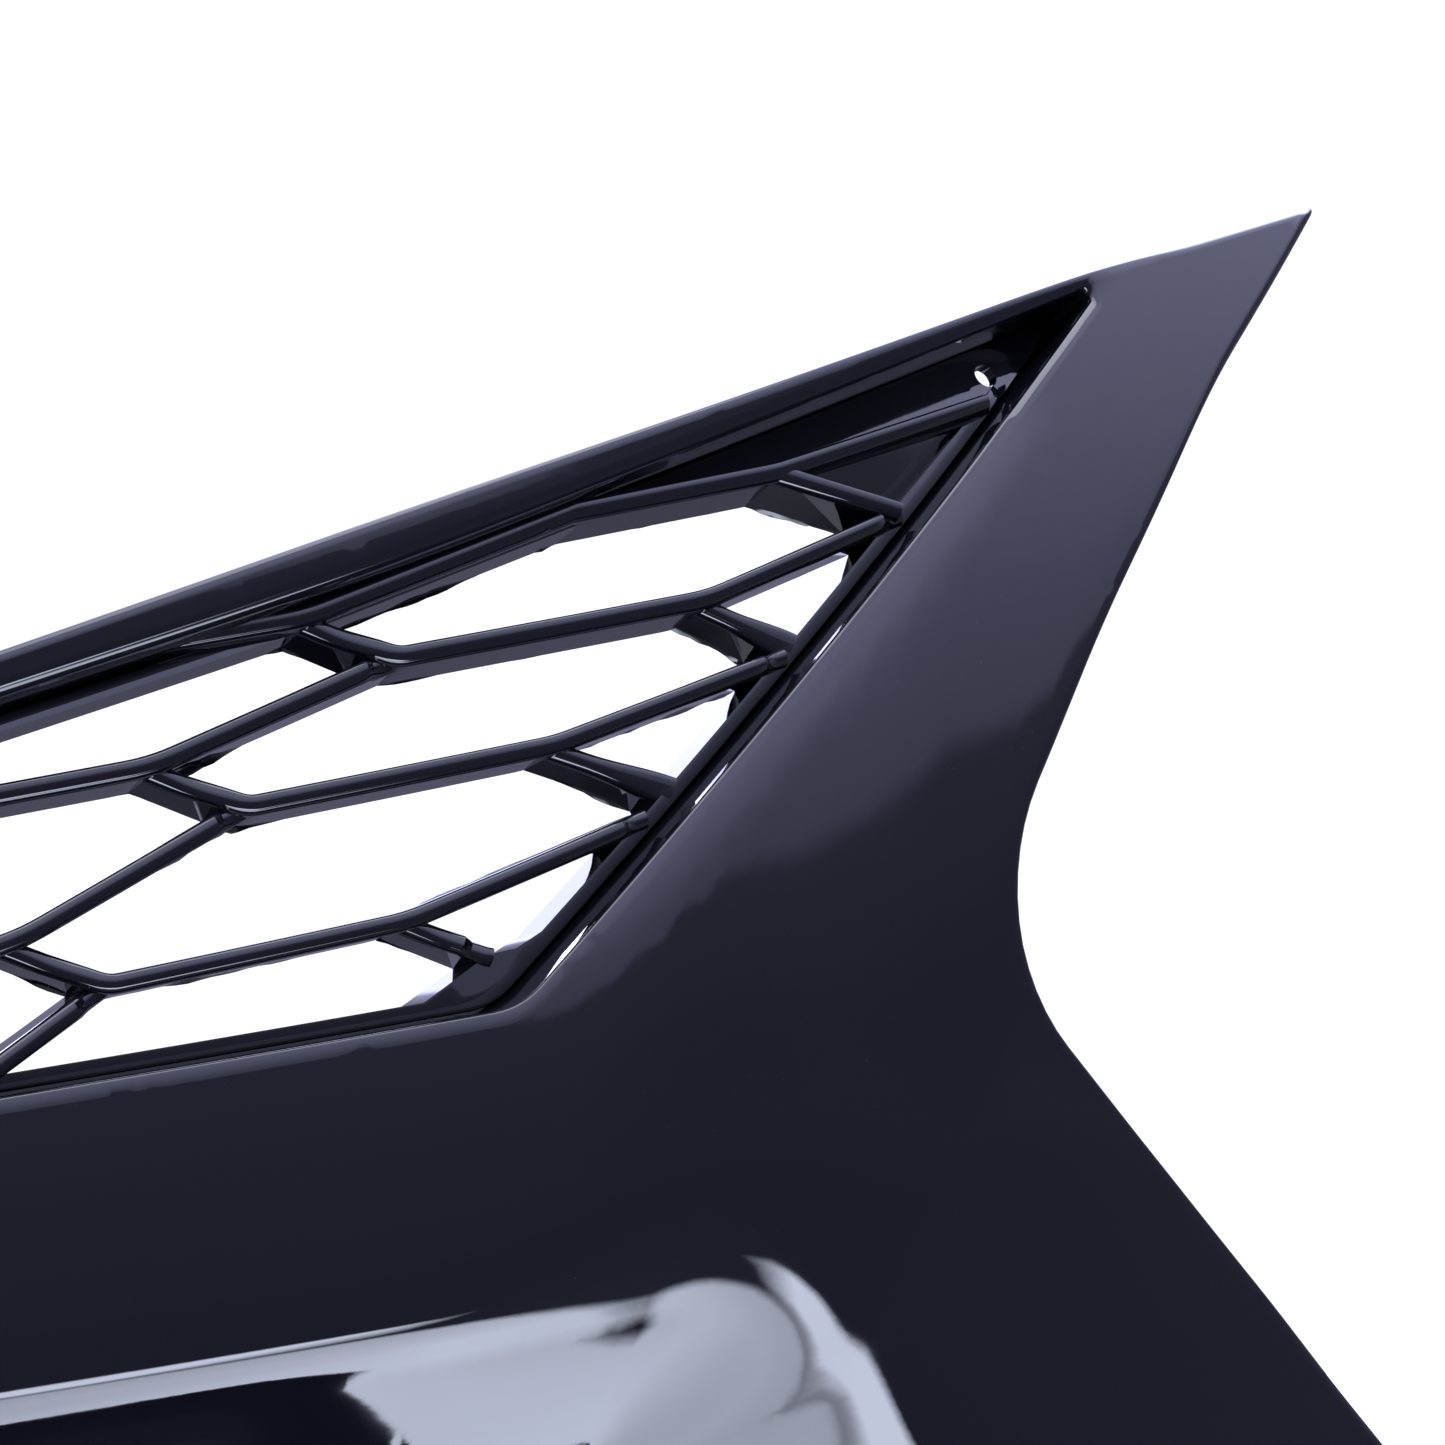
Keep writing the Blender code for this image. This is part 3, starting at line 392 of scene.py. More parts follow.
def layered_solid(corners, faces, kinds, kind_levels, depths, finish, name, normals=None):
    """Object from a plan, as in part.py, with exact normals on the level named in normals."""
    levels = list(depths)
    count = len(corners)
    places = np.concatenate([skin_point(corners[:, 0], corners[:, 1], depths[k]) for k in levels])
    base = {level: k * count for k, level in enumerate(levels)}
    smooth_level = normals[0] if normals else None
    polygons, exact, owner = [], set(), {}
    for face, kind in zip(faces.tolist(), kinds):
        if kind is None:
            continue
        front, rear = kind_levels[kind]
        if front == smooth_level:
            exact.add(len(polygons))
        polygons.append([base[front] + v for v in face])
        polygons.append([base[rear] + v for v in reversed(face)])
        for a, b in zip(face, face[1:] + face[:1]):
            owner[a, b] = (front, rear)
    for (a, b), (front, rear) in owner.items():
        other = owner.get((b, a))
        if other is None:
            polygons.append([base[front] + a, base[rear] + a, base[rear] + b, base[front] + b])
        elif a < b and other != (front, rear):
            if other[0] != front:
                polygons.append([base[front] + a, base[other[0]] + a, base[other[0]] + b, base[front] + b])
            if other[1] != rear:
                polygons.append([base[rear] + a, base[rear] + b, base[other[1]] + b, base[other[1]] + a])
    made = add_object(name, *compacted(places, polygons), finish)
    if normals:
        mesh = made.data
        corner_normals = np.empty(len(mesh.loops) * 3, np.float32)
        mesh.corner_normals.foreach_get("vector", corner_normals)
        corner_normals = corner_normals.reshape(-1, 3)
        loop = 0
        for i, polygon in enumerate(polygons):
            if i in exact:
                own = np.array(polygon) - base[smooth_level]
                corner_normals[loop : loop + len(polygon)] = normals[1][own]
            loop += len(polygon)
        mesh.normals_split_custom_set(corner_normals.tolist())
    return made


def without_pinches(faces, kinds, hollow, solid):
    """The kinds, with hollow faces made solid wherever two solid areas would touch at one point only."""
    while True:
        kind_of = {}
        for face, kind in zip(faces.tolist(), kinds):
            for a, b in zip(face, face[1:] + face[:1]):
                kind_of[a, b] = kind
        steps = {}
        for (a, b), kind in kind_of.items():
            if a < b and (b, a) in kind_of and {kind, kind_of[b, a]} == {hollow, solid}:
                steps[a] = steps.get(a, 0) + 1
                steps[b] = steps.get(b, 0) + 1
        pinched = {v for v, n in steps.items() if n > 2}
        hit = [i for i, f in enumerate(faces.tolist()) if kinds[i] == hollow and pinched & set(f)]
        if not hit:
            return kinds
        for i in hit:
            kinds[i] = solid


def compacted(points, polygons):
    """The points that the polygons use, and the polygons with those points' new numbers."""
    used = sorted({v for polygon in polygons for v in polygon})
    renumbered = {v: k for k, v in enumerate(used)}
    return points[used], [[renumbered[v] for v in polygon] for polygon in polygons]


def add_object(name, vertices, polygons, finish, place=None, sharp=35.0):
    mesh = bpy.data.meshes.new(name)
    mesh.from_pydata((np.asarray(vertices, float) * MM).tolist(), [], polygons)
    mesh.shade_smooth()
    mesh.set_sharp_from_angle(angle=math.radians(sharp))
    mesh.materials.append(finish)
    made = bpy.data.objects.new(name, mesh)
    bpy.context.scene.collection.objects.link(made)
    if place is not None:
        made.matrix_world = place
    return made


def ring_faces(rows, width, flipped=False, wraps=False):
    """Faces of a solid made of rings of points: the last ring meets the first, or both ends are closed."""
    polygons = []
    for i in range(rows if wraps else rows - 1):
        j = (i + 1) % rows
        for k in range(width):
            m = (k + 1) % width
            polygons.append([i * width + k, i * width + m, j * width + m, j * width + k])
    if not wraps:
        polygons.append(list(range(width))[::-1])
        polygons.append([(rows - 1) * width + k for k in range(width)])
    return [p[::-1] for p in polygons] if flipped else polygons


def turns_round(sides):
    return [2 * math.pi * k / sides for k in range(sides)]


def rides_along(piece):
    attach(piece, "root")


def stands_for(piece, slot, *nodes):
    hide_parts(*nodes)
    rides_along(piece)


# ---------------------------------------------------------------- fastener places, as in part.py


def upper_screw_places():
    corner, foot = np.array(UPPER[2][:2]), np.array(UPPER[3][:2])
    along = unit(corner - foot)
    outward = np.array([along[1], -along[0]])
    places = [foot + along * reach + outward * BOSS_INSET for reach in (74, 150)]
    places += [np.array([x, 234 + 6 * x / 168 - BOSS_INSET]) for x in (52, 138)]
    return [np.array([side * p[0], p[1]]) for side in (1, -1) for p in places]


def lower_screw_places():
    high, low = (np.array(c[:2]) for c in moved_corners(mirrored(LOWER_LIP), FUNNEL_WIDTH)[:2])
    along = unit(low - high)
    outward = np.array([-along[1], along[0]])
    places = [np.array([x, high[1] + BOSS_INSET]) for x in (70, 165)]
    places += [(high + low) / 2 + outward * BOSS_INSET, np.array([120, low[1] - BOSS_INSET])]
    return [np.array([side * p[0], p[1]]) for side in (1, -1) for p in places]


def bracket_screw_places(side):
    x, z, tilt = BRACKETS[side]
    along = np.array([math.cos(math.radians(tilt)), math.sin(math.radians(tilt))])
    return [np.array([x, z]) + end * BRACKET_SCREWS * along for end in (1, -1)]


# ---------------------------------------------------------------- surround


def above_rail_line(points):
    """Height over the line that parts the slim top rail from the legs and the band."""
    return points[:, 1] - (250 + 0.3 * np.abs(points[:, 0]))


def rib_sides(start, end):
    start, end = np.array(start, float), np.array(end, float)
    along = unit(end - start)
    across = np.array([-along[1], along[0]]) * RIB / 2
    share = np.linspace(0, 1, round(float(np.linalg.norm(end - start)) / SPACING) + 1)[:, None]
    return [start + (end - start) * share + side * across for side in (1, -1)]


def edge_radius(points):
    """Radius of the moulded edge: nearly half round on the rail, small along the legs."""
    across = np.abs(points[:, 0])
    rail_half = np.interp(across, [0, 100, 160, 250, 300, 330], [3.0, 4.1, 4.5, 3.1, 2.0, 1.6])
    on_rail = blend(above_rail_line(points), 2, 8) * (1 - blend(across, 296, 326))
    ends = blend(across, 335, 360)
    return EDGE + 1.3 * ends + (np.clip(rail_half * 0.7, 1.3, 3.2) - EDGE) * on_rail


def surround():
    """The moulded surround, cut from one plan: skin, panel behind it, walls, ribs, bosses and blade tabs."""
    outer = rounded(mirrored(OUTER), SPACING, ARC_STEP)
    upper = rounded(mirrored(UPPER), SPACING, ARC_STEP)
    lip_corners = mirrored(LOWER_LIP)
    lower = rounded(moved_corners(lip_corners, FUNNEL_WIDTH), SPACING, ARC_STEP)
    edges = (outer, upper, lower)
    rows = []
    for loop, outward in ((outer, False), (upper, True), (lower, True)):
        scale = edge_radius(loop) * (LEG_EDGE if loop is upper else 1.0)
        for share in (0.06, 0.23, 0.5, 0.78):
            rows += edge_rows(loop, share * scale, outward, edges)
        rows += edge_rows(loop, WALL, outward, edges)
    lip = rounded(lip_corners, SPACING, ARC_STEP)
    for reach in (-9, -5.5, -2.8, 2.8, 5.5, 9, 14, 20, 27):
        rows += edge_rows(lip, abs(reach), reach < 0, [lip] if reach > 0 else [lip, outer, upper])
    ribs = [line for a, b in RIB_LINES for line in rib_sides(a, b)]
    ribs += [line * (-1, 1) for line in ribs]
    bosses = [(p, BOSS_RADIUS) for p in upper_screw_places() + lower_screw_places()]
    bosses += [(p, BOSS_RADIUS) for side in ("right", "left") for p in bracket_screw_places(side)]
    boss_loops = [circle(*p, radius, 20) for p, radius in bosses]
    pilots = [circle(*p, PILOT_RADIUS, 12) for p, _ in bosses]
    pilots += [circle(*p, PILOT_RADIUS, 12) for p in bracket_screw_places("centre")]
    tabs = []
    for x, z in TAB_PLACES:
        half_x, half_z = TAB_SIZE[0] / 2, TAB_SIZE[1] / 2
        signs = ((-1, -1), (1, -1), (1, 1), (-1, 1))
        tabs.append(np.array([(x + i * half_x, z + j * half_z) for i, j in signs]))
    free = scattered_grid([outer, upper, lower] + boss_loops + tabs, GRID, GRID * 0.35)
    free = free[np.abs(distance(free, lip) - 1.4) > 1.4]
    corners, faces = triangulated([outer, upper, lower, lip] + boss_loops + pilots + tabs, rows + ribs, free)
    middle = corners[faces].mean(axis=1)
    here = inside(middle, outer) & ~inside(middle, upper) & ~inside(middle, lower)
    faces, middle = faces[here], middle[here]
    near_corner = np.min([distance(corners, loop) for loop in edges], axis=0)
    near = np.min([distance(middle, loop) for loop in edges], axis=0)
    thick = (near < WALL) | (near_corner[faces].min(axis=1) < WALL * 0.95)
    thick |= (np.abs(middle[:, 0]) < 300) & (above_rail_line(middle) > 0)
    for start, end in RIB_LINES:
        for side in (1, -1):
            line = np.array([start, end], float) * (side, 1)
            thick |= distance(middle, line, closed=False) < RIB / 2 * 0.98
    for loop in boss_loops:
        thick |= inside(middle, loop)
    for loop in pilots:
        thick &= ~inside(middle, loop)
    kinds = without_pinches(faces, ["wall" if t else "panel" for t in thick], "panel", "wall")
    for loop in tabs:
        for i in np.flatnonzero(inside(middle, loop)):
            kinds[i] = "tab"
    corners, faces = compacted(corners, faces.tolist())
    return surround_solid(corners, np.array(faces), kinds, edges)


def surround_solid(corners, faces, kinds, edges):
    """The surround from its plan: its depths, and normals that follow the relief and the rounded edges."""
    found = [nearest(corners, loop) for loop in edges]
    away = [found[0][1], -found[1][1], -found[2][1]]
    for k, (reach, direction) in enumerate(found):
        sign = 1 if k == 0 else -1
        away[k] = np.where((reach < 1e-4)[:, None], direction * sign, direction)
    reaches = np.array([f[0] for f in found])
    which = reaches.argmin(axis=0)
    near = reaches.min(axis=0)
    outward = -np.array(away)[which, np.arange(len(corners))]
    across, over_rail = np.abs(corners[:, 0]), above_rail_line(corners)
    radius = edge_radius(corners) * np.where((which == 1) & (over_rail < 0), LEG_EDGE, 1)
    share = np.clip((radius - near) / radius, 0, 1)
    height, inward, slope = relief(corners)
    skin = height + SETBACK + radius * (1 - np.sqrt(np.maximum(1 - share**2, 0)))
    normal, tangents = sheet_normals(corners, lambda p: relief(p)[0])
    # The polish rolls over gently beside the upper opening.
    along_leg = (1 - blend(over_rail, -6, 4)) * blend(across, 160, 200)
    roll = 0.24 * (1 - np.minimum(reaches[1] / 12, 1)) ** 2 * along_leg
    normal = leaned(normal, tangents, -away[1], roll)
    # The rail's face looks a little down, as far as the line of the leg's inner edge.
    (tip_x, tip_z), (foot_x, foot_z) = UPPER[2][:2], UPPER[3][:2]
    from_leg = foot_x + (corners[:, 1] - foot_z) * (tip_x - foot_x) / (tip_z - foot_z) - across
    on_rail = blend(over_rail, -4, 4) * blend(from_leg, -3, 9)
    normal = normalised(normal + on_rail[:, None] * np.array([0, 0, -0.30]))
    normal = leaned(normal, tangents, outward, share)
    # The slope inside the lower lip eases off towards its upper corners.
    easier = blend(inward, 3, 9) * blend(corners[:, 1], 90, 120)
    easier *= np.maximum(blend(across, 105, 165), blend(inward, 20, 28))
    easier *= 1 - blend(across, 190, 212)
    normal = normalised(normal + easier[:, None] * np.array([0, -0.13, 0.16]))
    panel = np.maximum(height + WALL * (1 + 0.41 * slope), skin + 0.6)
    taper = 1 - TIP_TAPER * blend(across, 335, 401) * blend(corners[:, 1], 300, 350)
    wall = REAR * taper + (REAR_LOWER - REAR) * np.clip(inward / 22, 0, 1)
    wall = np.minimum(np.maximum(wall, skin + 2.5), REAR_LOWER)
    depths = {"skin": skin, "panel": panel, "wall": wall, "tab": wall + TAB_LENGTH}
    levels = {"wall": ("skin", "wall"), "panel": ("skin", "panel"), "tab": ("skin", "tab")}
    return layered_solid(corners, faces, kinds, levels, depths, GLOSS, "surround", ("skin", normal))


# ---------------------------------------------------------------- mesh inserts


def lattice_row(j):
    """First valley of a row of struts, and the steps from a valley to its hill and on to the next valley."""
    if j < 0:
        return np.array([197.0, 328.0]), np.array([45.2, 5.0]), np.array([28.3, -9.5])
    valley = np.array([156.9 - 31.5 * j + 1.75 * j * (j - 1), 303.9 - 23.5 * j - 2 * j * (j - 1)])
    return valley, np.array([64.4 - 4.95 * j, 5.8 - 0.55 * j]), np.array([16.2, -8.4])


def valley_place(i, j):
    first, rise, fall = lattice_row(j)
    return first + i * (rise + fall) + (RIM_STEPS.get(j, (0, 0)) if i > 0 else 0)


def hill_place(i, j):
    first, rise, fall = lattice_row(j)
    return first + i * (rise + fall) + rise


def lattice_cell(i, j):
    return [
        valley_place(i, j),
        hill_place(i, j),
        valley_place(i + 1, j),
        hill_place(i, j + 1),
        valley_place(i, j + 1),
        hill_place(i - 1, j + 1),
    ]


def divided(polygon, spacing):
    points = []
    for a, b in zip(polygon, np.roll(polygon, -1, 0)):
        steps = max(1, round(float(np.linalg.norm(b - a)) / spacing))
        points += [a + (b - a) * k / steps for k in range(steps)]
    return np.array(points)


def narrowed(polygon, inset):
    """A convex, clockwise polygon moved inwards on every side."""
    result = polygon
    for a, b in zip(polygon, polygon[1:] + polygon[:1]):
        along = unit(b - a)
        inward = np.array([along[1], -along[0]])
        result = cut_back(result, a + inward * inset, inward)
    return result


def cells_within(limits, shift, rows, columns, inset):
    """Openings of the lattice, cut back at the limits. One that would be too small is left closed."""
    found = []
    for j in rows:
        for i in columns:
            cell = [c + shift for c in lattice_cell(i, j)]
            middle = np.mean(cell, axis=0)
            whole = narrowed(cell, STRUT / 2)
            cell = narrowed(cell, inset)
            for point, inward in limits(middle):
                if cell:
                    cell = cut_back(cell, point, inward)
                if whole:
                    whole = cut_back(whole, point, inward)
            if len(cell) > 2 and len(whole) > 2 and area(whole) > 45:
                cell = [a for a, b in zip(cell, cell[1:] + cell[:1]) if np.linalg.norm(a - b) > 1.2]
                found.append(cell)
    return found


def side_limit(a, b):
    """Place and inward direction of the rim's edge along one side of an opening."""
    along = unit(b - a)
    inward = np.array([along[1], -along[0]])
    return a + inward * (RIM + FIT), inward


def upper_limits(middle):
    corners = [np.array(c[:2], float) for c in UPPER]
    top = corners[:2] if middle[0] < 150 else corners[1:3]
    limits = [(np.array([BADGE_PANEL + RIM, 0]), np.array([1.0, 0]))]
    limits += [side_limit(a, b) for a, b in (top, corners[2:4], corners[3:5])]
    return limits + [(FOOT_LIMIT, unit(FOOT_INWARD))]


def lower_limits(_middle):
    corners = [np.array(c[:2]) for c in moved_corners(mirrored(LOWER_LIP), FUNNEL_WIDTH)]
    limits = [(np.array([STRUT / 2, 0]), np.array([1.0, 0]))]
    return limits + [side_limit(corners[k - 1], corners[k]) for k in range(3)]


def both_sides(polygons):
    return [np.array(p) for p in polygons] + [np.array(p)[::-1] * (-1, 1) for p in polygons]


def jagged(seed, count, step):
    """Repeatable uneven values from 0 to 1 along a moulded edge, in short bursts."""
    rng = np.random.default_rng(seed)
    places = np.arange(count) * step
    total = np.zeros(count)
    for wave, weight in ((23.0, 0.9), (9.0, 0.6), (4.1, 0.5), (2.2, 0.4)):
        knots = rng.uniform(-1, 1, int(places[-1] / wave) + 4)
        total += weight * np.interp(places / wave, np.arange(len(knots)), knots)
    return np.clip(total, 0, 1.6) / 1.6


def smooth_path(points, radii, step):
    """Samples of a polyline with its inner corners rounded, and the sample index of each corner."""
    pieces = [np.array([points[0]])]
    marks = []
    for k in range(1, len(points) - 1):
        corner = points[k]
        back, ahead = points[k - 1] - corner, points[k + 1] - corner
        limit = 0.45 * min(np.linalg.norm(back), np.linalg.norm(ahead))
        back, ahead = unit(back), unit(ahead)
        half = (math.pi - math.acos(float(np.clip(back @ ahead, -1, 1)))) / 2
        reach = min(radii[k - 1] * math.tan(half), limit)
        start, end = corner + back * reach, corner + ahead * reach
        steps = max(4, math.ceil(2 * reach / step))
        t = np.linspace(0, 1, steps + 1)[:, None]
        arc = (1 - t) ** 2 * start + 2 * t * (1 - t) * corner + t**2 * end
        previous = pieces[-1][-1]
        count = max(1, round(float(np.linalg.norm(start - previous)) / step))
        pieces.append(previous + (start - previous) * np.arange(1, count)[:, None] / count)
        marks.append(sum(len(p) for p in pieces) + len(arc) // 2)
        pieces.append(arc)
    previous = pieces[-1][-1]
    count = max(1, round(float(np.linalg.norm(points[-1] - previous)) / step))
    pieces.append(previous + (points[-1] - previous) * np.arange(1, count + 1)[:, None] / count)
    return np.concatenate(pieces), marks


def bar(path, half, fronts, rear, seed):
    """Vertices and faces of one strut: a moulded bar with a rounded front and flash on its rear edges."""
    along = normalised(np.gradient(path, axis=0))
    across = np.stack([-along[:, 1], along[:, 0]], axis=1)
    count = len(path)
    steps = np.linalg.norm(np.diff(path, axis=0), axis=1).mean()
    radius = STRUT_ROUND
    flash = [jagged(seed, count, steps) * 0.35, jagged(seed + 1, count, steps)]
    angles = np.radians([0, 15, 32, 50, 68, 84])
    sections = []
    for side, order in ((1, 1), (-1, -1)):
        rough = 1.15 * flash[0 if side == 1 else 1]
        run = [
            (half * side - 0.12 * side, np.full(count, rear)),
            ((half + rough) * side, np.full(count, rear) - 0.05),
            ((half + rough * 0.9) * side, np.full(count, rear) - 0.3),
            (half * side, np.full(count, rear) - 0.75 - rough * 0.5),
            (half * side, np.full(count, rear) - 1.15 - rough * 0.5),
            (half * side, np.minimum(fronts + radius + 0.5, rear - 2.2)),
        ]
        for angle in angles:
            u = half - radius + radius * np.cos(angle)
            run.append((u * side, fronts + radius * (1 - np.sin(angle)) + 0.1))
        sections += run if side == 1 else [(np.zeros(count), fronts)] + run[::-1]
    rings = []
    upright = 2 * LEAN_RATE * np.maximum(path[:, 1] - LEAN_START, 0)
    for u, depth in sections:
        plan = path + across * np.broadcast_to(u, count)[:, None]
        front = np.broadcast_to(depth, count) < fronts + radius + 0.3
        depth = depth - np.where(front, upright * (plan[:, 1] - path[:, 1]), 0)
        rings.append(skin_point(plan[:, 0], plan[:, 1], depth))
    rings = np.array(rings)
    width = len(rings)
    vertices = rings.transpose(1, 0, 2).reshape(-1, 3)
    return vertices, ring_faces(count, width)


def ribbons(rows, columns, shift, allowed, front, rear, length_limit=7.0):
    """Struts of the right half: each drops from a hill, bends at a valley, and climbs past the next hill."""
    bars = []
    for j in rows:
        for i in columns:
            nodes = [hill_place(i - 1, j), valley_place(i, j), hill_place(i, j)]
            if j < 0:
                if i != 0:
                    continue
                nodes = [valley_place(0, j) - [16, 4.46], valley_place(0, j), hill_place(0, j)]
                nodes.append(np.array([305.0, 346.4]))
            else:
                nodes.append(valley_place(i + 1, j - 1))
            path, marks = smooth_path([n + shift for n in nodes], [7.0, 42.0], BAR_STEP)
            kept = allowed(path)
            runs, run = [], []
            for k in range(len(path) + 1):
                if k < len(path) and kept[k]:
                    run.append(k)
                elif run:
                    runs.append(run)
                    run = []
            for run in runs:
                if len(run) < 3 or (len(run) - 1) * BAR_STEP < length_limit:
                    continue
                part = path[run]
                reach = np.concatenate([[0], np.cumsum(np.linalg.norm(np.diff(part, axis=0), axis=1))])
                fronts = np.full(len(part), front)
                half = np.full(len(part), STRUT / 2)
                if run[-1] < marks[0] - 1:
                    fronts = fronts + 3.6
                    half = half + 1.1 * blend(reach, reach[-1] * 0.3, reach[-1])
                elif j >= 0:
                    valley = max(np.searchsorted(run, marks[0]), 1)
                    start = reach[min(valley, len(reach) - 1)]
                    dips = run[0] < marks[0]
                    fronts = fronts + 3.2 * (1 - blend(reach, 0.25 * start, start)) * dips
                    fronts = fronts + 2.6 * blend(reach, reach[-1] - 6.5, reach[-1] - 4.0)
                bars.append((part, half, fronts, rear, 100 * (j + 2) + 7 * (i + 9)))
    return bars


def joined_bars(bars, name, finish):
    """One object from the bars of the right half and their mirror images."""
    vertices, polygons = [], []
    total = 0
    for side in (1, -1):
        for path, half, fronts, rear, seed in bars:
            points, faces = bar(path, half, fronts, rear, seed)
            points = points * (side, 1, 1)
            faces = faces if side == 1 else [f[::-1] for f in faces]
            vertices.append(points)
            polygons += [[v + total for v in f] for f in faces]
            total += len(points)
    return add_object(name, np.concatenate(vertices), polygons, finish, sharp=42)


def insert_body(name, opening, holes, blanks, screws, round_holes, front, rear, sink):
    """The rim, flange and closed pockets of a mesh insert. Its struts lie under the rounded bars."""
    inner = rounded(moved_corners(opening, FIT), SPACING, ARC_STEP)
    flange = rounded(moved_corners(opening, -FLANGE_REACH), SPACING * 1.5, ARC_STEP)
    ears = [circle(*p, BOSS_RADIUS + 1, 20) for p in screws]
    bores = [circle(*p, SCREW_HOLE_RADIUS, 16) for p in screws]
    bores += [circle(x, z, radius, 24) for x, z, radius in round_holes]
    rows = []
    for inset in (0.1, 0.4, 0.8, RIM):
        rows += edge_rows(inner, inset, False, [inner] + list(holes))
    corners, faces = triangulated([inner, flange] + ears + bores + holes + blanks, rows, [])
    middle = corners[faces].mean(axis=1)
    in_lattice = inside(middle, inner)
    in_flange = inside(middle, flange) | np.any([inside(middle, e) for e in ears], axis=0)
    in_blank = np.any([inside(middle, b) for b in blanks], axis=0) if blanks else np.zeros(len(middle), bool)
    empty = np.any([inside(middle, b) for b in bores + holes], axis=0)
    kinds = []
    for lattice, outside, blank, gone in zip(in_lattice, in_flange, in_blank, empty):
        if gone or not (lattice or outside):
            kinds.append(None)
        else:
            kinds.append("blank" if blank else "strut" if lattice else "flange")
    back = rear + GAP
    near = distance(corners, inner)
    edge = np.maximum(0.8 - near, 0)
    lattice_front = front + sink + (0.8 - np.sqrt(np.maximum(0.64 - edge**2, 0)))
    above = corners[:, 1] - np.interp(np.abs(corners[:, 0]), *TOP_RIBBON)
    recess = np.clip(12.5 + 0.2 * np.abs(above), 12.5, 15.5)
    pocket = np.where(np.abs(corners[:, 0]) > 100, recess, BLANK_FRONT)
    over = (np.abs(corners[:, 0]) > 196) & (above > 1.9) & (near < 8)
    lattice_front = np.where(over & (front < BLANK_FRONT), recess, lattice_front)
    depths = {
        "strut_front": lattice_front,
        "blank_front": pocket,
        "blank_rear": pocket + BLANK,
        "flange_front": np.full(len(corners), back),
        "rear": np.full(len(corners), back + FLANGE),
    }
    levels = {
        "strut": ("strut_front", "rear"),
        "blank": ("blank_front", "blank_rear"),
        "flange": ("flange_front", "rear"),
    }
    return layered_solid(corners, faces, kinds, levels, depths, GLOSS, name)


def upper_mesh():
    cells = cells_within(upper_limits, np.zeros(2), range(-1, 4), range(-3, 2), 0.9)
    holes = [divided(np.array(cell), 8) for cell in cells if np.mean(cell, axis=0)[0] < 252]
    pockets = [narrowed([np.array(c, float) for c in pocket], STRUT / 2) for pocket in POCKETS]
    pockets = [divided(np.array(p), 8) for p in pockets]
    panel = [(-BADGE_PANEL, 241), (-BADGE_PANEL, 285), (BADGE_PANEL, 285), (BADGE_PANEL, 241)]
    panel = divided(np.array(panel, float), 8)
    studs = [(x, z, STUD_RADIUS + 0.5) for x, z in STUDS]
    screws = upper_screw_places() + bracket_screw_places("centre")
    opening = mirrored(UPPER)
    body = insert_body(
        "upper_mesh_body",
        opening,
        both_sides(holes),
        [panel] + both_sides(pockets),
        screws,
        FIXING_HOLES + studs,
        MESH_FRONT,
        REAR,
        4.0,
    )
    stands_for(body, "gloss_black", "upper_mesh")
    inner = rounded(moved_corners(opening, FIT), 6, 12)
    rail = np.array([(-40, 270), (0, 281), (150, 316), (330, 366)], float)

    def allowed(path):
        clear = inside(path, inner) & (distance(path, inner) > 1.7) & (path[:, 0] > BADGE_PANEL + 1.5)
        clear |= (distance(path, rail, False) < 4.0) & (path[:, 0] < 205)
        return clear & ((path - FOOT_LIMIT) @ FOOT_INWARD > 1.2) & (path[:, 0] > BADGE_PANEL + 1.5)

    bars = ribbons(range(-1, 4), range(-4, 3), np.zeros(2), allowed, MESH_FRONT, REAR + GAP + FLANGE - 0.05)
    extra = np.array([(242.2, 333.0), (270.5, 323.5)])
    path, _ = smooth_path([extra[0], extra.mean(axis=0), extra[1] + [3, -1]], [10], BAR_STEP)
    path = path[distance(path, inner) > 1.6]
    bars.append((path, np.full(len(path), STRUT / 2), np.full(len(path), MESH_FRONT + 0.6), REAR + 2.7, 5))
    rides_along(joined_bars(bars, "upper_mesh_struts", GLOSS))


def lower_mesh():
    shift = np.array([0, -163.0])
    cells = cells_within(lower_limits, shift, range(0, 4), range(-4, 5), 0.9)
    cells = [divided(np.array(cell), 8) for cell in cells]
    opening = moved_corners(mirrored(LOWER_LIP), FUNNEL_WIDTH)
    body = insert_body(
        "lower_mesh_body",
        opening,
        both_sides(cells),
        [],
        lower_screw_places(),
        [],
        MESH_FRONT_LOWER,
        REAR_LOWER,
        3.0,
    )
    stands_for(body, "gloss_black", "lower_mesh")
    inner = rounded(moved_corners(opening, FIT), 6, 12)

    def allowed(path):
        return inside(path, inner) & (distance(path, inner) > 1.7) & (path[:, 0] > 0.2)

    rear = REAR_LOWER + GAP + FLANGE - 0.05
    bars = ribbons(range(0, 5), range(-5, 5), shift, allowed, MESH_FRONT_LOWER, rear)
    low, high = inner[:, 1].min() + 1.7, inner[:, 1].max() - 1.7
    upright = np.stack([np.zeros(24), np.linspace(low, high, 24)], axis=1)
    bars.append((upright, np.full(24, STRUT / 2), np.full(24, MESH_FRONT_LOWER), rear, 3))
    rides_along(joined_bars(bars, "lower_mesh_struts", GLOSS))


# ---------------------------------------------------------------- badge


